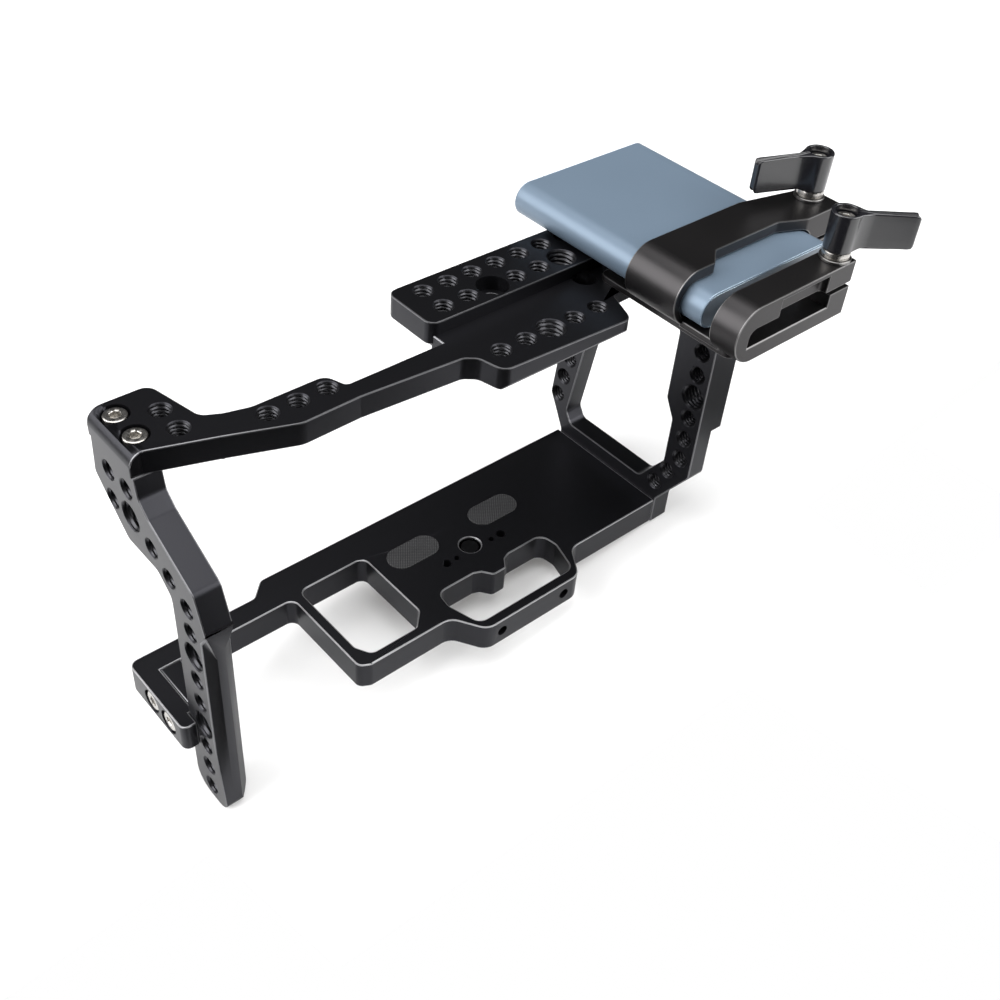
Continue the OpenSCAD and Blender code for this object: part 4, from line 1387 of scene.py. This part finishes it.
@dataclass
class CameraFittings:
    """What touches the camera: net pads, bumpers, and the screw with its washer and ring."""

    pads: Row = Row((-0.4, 37.0), (4.8,), -99.0)
    pad_l: float = 20.88
    pad_w: float = 10.48
    proud: float = 0.5
    core: float = 5.2
    net_pitch: float = 0.85
    net_h: float = 0.11
    bumpers: tuple[Place, ...] = ((-90.0, -14.3, -113.4), (-90.0, -14.3, -107.0))

    def build(self) -> None:
        """Builds every fitting."""
        self._pads()
        self._bumpers()
        for node, finish, chamfer, body in (
                ("camera_screw", BLACKENED, 0.25, "camera_screw_body"),
                ("camera_screw_washer", NYLON, 0.12, "camera_screw_carrier"),
                ("camera_screw_ring", STEEL, 0.12, "frame"), ("base_pins", STEEL, 0.3, "frame"),
                ("top_pins", STEEL, 0.3, "frame"), ("jaw_linings", RUBBER, 0.1, "frame")):
            MachinedPlate(node, finish, chamfer, body, edge=None).build()

    def _net(self, loop: np.ndarray) -> np.ndarray:
        """Height of the net over points of the top: h |sin(pi u / p) sin(pi v / p)|."""
        waves = np.sin(loop @ about_z(NET_TURN)[:2, :2] * (math.pi / self.net_pitch))
        return self.proud - self.net_h + self.net_h * np.abs(waves.prod(1))

    def _pads(self) -> None:
        """Builds the two pads: a rounded rim, then ever smaller loops that carry the net."""
        rings: list[np.ndarray] = []
        for inset, z in ((self.core, -0.8), (0.0, -0.8), (0.0, self.proud - 0.25),
                         (0.08, self.proud - 0.08), (0.25, self.proud),
                         *((inset, None) for inset in np.linspace(0.45, self.core, 26))):
            loop = stadium(self.pad_l, self.pad_w, inset, 320)
            height = self._net(loop) if z is None else np.full(len(loop), z)
            rings.append(np.column_stack([loop, height]))
        draft = Draft()
        for place in self.pads.places():
            draft.add_grid(placed(np.stack(rings), place), caps=True)
        draft.piece("base_rubber_pads_net", NET, "frame", 60, ("base_rubber_pads",))

    def _bumpers(self) -> None:
        """Builds the two round bumpers on the arm."""
        rings = lathe([(0.0, 0.0), (2.5, 0.0), (2.45, 0.4), (2.2, 1.4), (2.0, 1.8), (1.6, 2.0),
                       (0.8, 1.99), (0.0, 1.98)], 40)
        draft = Draft()
        for place in self.bumpers:
            draft.add_grid(placed(rings, place, Side.RIGHT))
        draft.piece("arm_bumpers_moulded", RUBBER, "frame", 40, ("arm_bumpers",))


# ---------------------------------------------------------------- portable drive


@dataclass
class PortableDrive:
    """The flat drive: a drawn tube with rounded sides and a cap in each end."""

    left: float = 63.3
    wide: float = 63.0
    front: float = -51.2
    long: float = 85.4
    thick: float = 12.0
    middle: float = 6.6
    cap_t: float = 1.6
    wall: float = 0.8
    core: float = 5.5

    def _ring(self, inset: float, y: float) -> np.ndarray:
        """The tube's section, moved in by an inset, at a place along it."""
        loop = stadium(self.wide, self.thick, inset, 96)
        return np.column_stack([loop[:, 0] + self.left + self.wide / 2, np.full(len(loop), y),
                                loop[:, 1] + self.middle])

    def _tube(self, rows: Sequence[tuple[float, float]]) -> np.ndarray:
        """Rings of (inset, distance from the front end) in the pad's frame."""
        return np.stack([self._ring(i, self.front + y) for i, y in rows]) + PAD_CORNER

    def build(self) -> None:
        """Builds the shell with broken ends, the caps, and dresses the port."""
        w, c, l = self.wall, self.cap_t, self.long
        edge = [(w + 0.02, c), (w, 0.22), (w - 0.12, 0.02), (0.42, 0.0), (0.12, 0.12), (0.0, 0.42)]
        rows = [(self.core, c), *edge, *((0.0, y) for y in np.linspace(4, l - 4, 18)),
                *((i, l - y) for i, y in edge[::-1]), (self.core, l - c)]
        draft = Draft().add_grid(self._tube(rows), caps=True)
        draft.piece("drive_shell_drawn", SHELL, "drive", 45, ("drive_shell",))
        rim = [(-0.025, 0.43), (0.43, -0.025), (0.6, 0.1), (0.2, 0.6)]
        draft = Draft().add_grid(self._tube(rim), close_rows=True)
        draft.add_grid(self._tube([(i, l - y) for i, y in rim[::-1]]), close_rows=True)
        draft.piece("drive_rims_polished", POLISHED, "drive", 20)
        for node, finish, chamfer in (("drive_front_cap", CAP, 0.12), ("drive_rear_cap", CAP, 0.12),
                                      ("drive_port", STEEL, 0.05)):
            MachinedPlate(node, finish, chamfer, "drive", edge=None).build()


# ---------------------------------------------------------------- stage


@dataclass
class Studio:
    """Camera, floor and soft lamps; the floor and the lamps are in metres."""

    camera_mm: Place = (-219.23, -235.27, 310.06)
    right: Place = (0.7518633, -0.6557012, 0.0689745)
    down: Place = (-0.4002975, -0.5371062, -0.7424815)
    ahead: Place = (0.5238927, 0.5306343, -0.6663060)
    lens: float = 44.64
    arm_foot: tuple[float, float] = (-0.1140, -0.0334)
    ring_foot: tuple[float, float] = (0.0797, -0.0108)
    gap: float = 0.0002
    paper_near: float = 0.34
    paper_fade: float = 0.30
    # The sheet's edge is notched beside and before the cage, so that the fronts that mirror
    # what lies there stay as dark as they are in the photograph.
    floor_plan: tuple[tuple[float, float], ...] = (
        (-0.75, -0.028), (-0.128, -0.030), (-0.120, -0.086), (0.042, -0.098),
        (0.058, -0.20), (0.0, -0.25), (0.0, -0.55), (1.35, -0.55),
        (1.35, -0.062), (0.185, -0.062), (0.185, -0.118), (0.122, -0.118),
        (0.122, -0.058), (1.35, -0.058), (1.35, 1.15), (-0.75, 1.15))
    # Each lamp's place, the point that it faces, its width and height, and its watts.
    lamps: tuple[tuple[str, Place, Place, tuple[float, float], float], ...] = (
        ("top_box", (-0.1, -0.05, 1.25), (0.0, 0.0, 0.0), (1.3, 1.3), 17.5),
        ("left_box", (-0.90, 0.44, 0.58), (-0.16, 0.05, -0.03), (1.1, 1.0), 18.0),
        ("front_box", (0.72, -0.93, 0.78), (0.0, 0.0, 0.03), (1.4, 1.1), 21.0))

    def camera(self) -> None:
        """Sets the camera where the photograph was taken from."""
        data = bpy.data.cameras.new("camera")
        data.lens, data.sensor_width = self.lens, 36.0
        data.clip_start, data.clip_end = 0.01, 20.0
        camera = bpy.data.objects.new("camera", data)
        bpy.context.scene.collection.objects.link(camera)
        turned = np.eye(4)
        turned[:3, :3] = np.array([self.right, self.down, self.ahead]).T * (1, -1, -1)
        turned[:3, 3] = np.array(self.camera_mm) * MM
        camera.matrix_world = Matrix(turned.tolist())
        bpy.context.scene.camera = camera

    def floor(self) -> None:
        """Lays the pale sheet on which the arm's end and the ring's foot rest.

        It slopes along X only: z = z0 + (z1 - z0) / (x1 - x0) (x - x0), less a small gap.
        """
        (x0, z0), (x1, z1) = self.arm_foot, self.ring_foot
        plan = np.array(self.floor_plan)
        z = z0 + (z1 - z0) / (x1 - x0) * (plan[:, 0] - x0) - self.gap
        mesh = bpy.data.meshes.new("floor")
        mesh.from_pydata(np.column_stack([plan, z]).tolist(), [], [tuple(range(len(plan)))])
        floor = bpy.data.objects.new("floor", mesh)
        bpy.context.scene.collection.objects.link(floor)
        mesh.materials.append(self._paper())

    def _paper(self) -> bpy.types.Material:
        """White paper that shows its shadow and is otherwise white to the camera.

        Returns:
            The material; far from the object it gives off its own white to the camera.
        """
        paper = bpy.data.materials.new("white_paper")
        tree = ShaderTree(paper)
        away = tree.add("ShaderNodeVectorMath", {"operation": "LENGTH"},
                        {0: tree.place(scale=1.0)}, "Value")
        far = ((away - self.paper_near) / self.paper_fade).clamped()
        glow = tree.blend(far, (0.150, 0.147, 0.143), (1.0, 1.0, 1.0))
        tree.surface(Base_Color=(0.82, 0.82, 0.82), Roughness=0.9, Specular_IOR_Level=0.1,
                     Emission_Color=tree.blend(tree.seen(), (0.0, 0.0, 0.0), glow),
                     Emission_Strength=1.0)
        return paper

    def world(self) -> None:
        """White to the camera, and a dim grey room to everything else."""
        world = bpy.data.worlds.new("room")
        tree = ShaderTree(world, "ShaderNodeBackground", "ShaderNodeOutputWorld")
        tree.surface(Color=tree.blend(tree.seen(), (0.030, 0.030, 0.031), (1.0, 1.0, 1.0)))
        bpy.context.scene.world = world

    def lamp(self, name: str, place: Place, aim: Place, size: tuple[float, float],
             watts: float) -> None:
        """Hangs one soft box.

        Args:
            name: the lamp's name.
            place: where it hangs.
            aim: the point that it faces.
            size: its width and height.
            watts: its power.
        """
        data = bpy.data.lights.new(name, "AREA")
        data.shape, data.size, data.size_y = "RECTANGLE", size[0], size[1]
        data.energy = watts
        lamp = bpy.data.objects.new(name, data)
        lamp.location = place
        away = Vector(place) - Vector(aim)
        lamp.rotation_euler = away.to_track_quat("Z", "Y").to_euler()
        bpy.context.scene.collection.objects.link(lamp)

    def build(self) -> None:
        """Sets up the whole stage."""
        self.camera()
        self.floor()
        self.world()
        for lamp in self.lamps:
            self.lamp(*lamp)
        bpy.context.scene.view_settings.view_transform = "Standard"


def main() -> None:
    """Builds the stage and every sub-assembly in order."""
    logging.basicConfig(level=logging.INFO, format="%(name)s %(message)s")
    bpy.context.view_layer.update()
    for part in (Studio(), TopPlate(), LeftArm(), BasePlate(), SideRing(), DriveClamp(),
                 Screws("arm_cap_screws", CAP_M4, 13.0, ARM_TOP),
                 Screws("ring_top_screws", CAP_M4, 11.0, RING_TOP),
                 Screws("foot_screws", CAP_FOOT, 8.45, ARM_FOOT),
                 Screws("ring_base_screws", CAP_M4, 12.0, RING_FOOT),
                 Screws("clamp_plate_screws", FLAT_M3, 7.0, PLATE_ROW),
                 Screws("clamp_body_screws", FLAT_M3, 11.7, CLAMP_ROW),
                 CameraFittings(), ClampLever("rear", REAR_AXIS, 159.0),
                 ClampLever("front", FRONT_AXIS, -38.0), PortableDrive()):
        part.build()


if __name__ == "__main__":
    main()
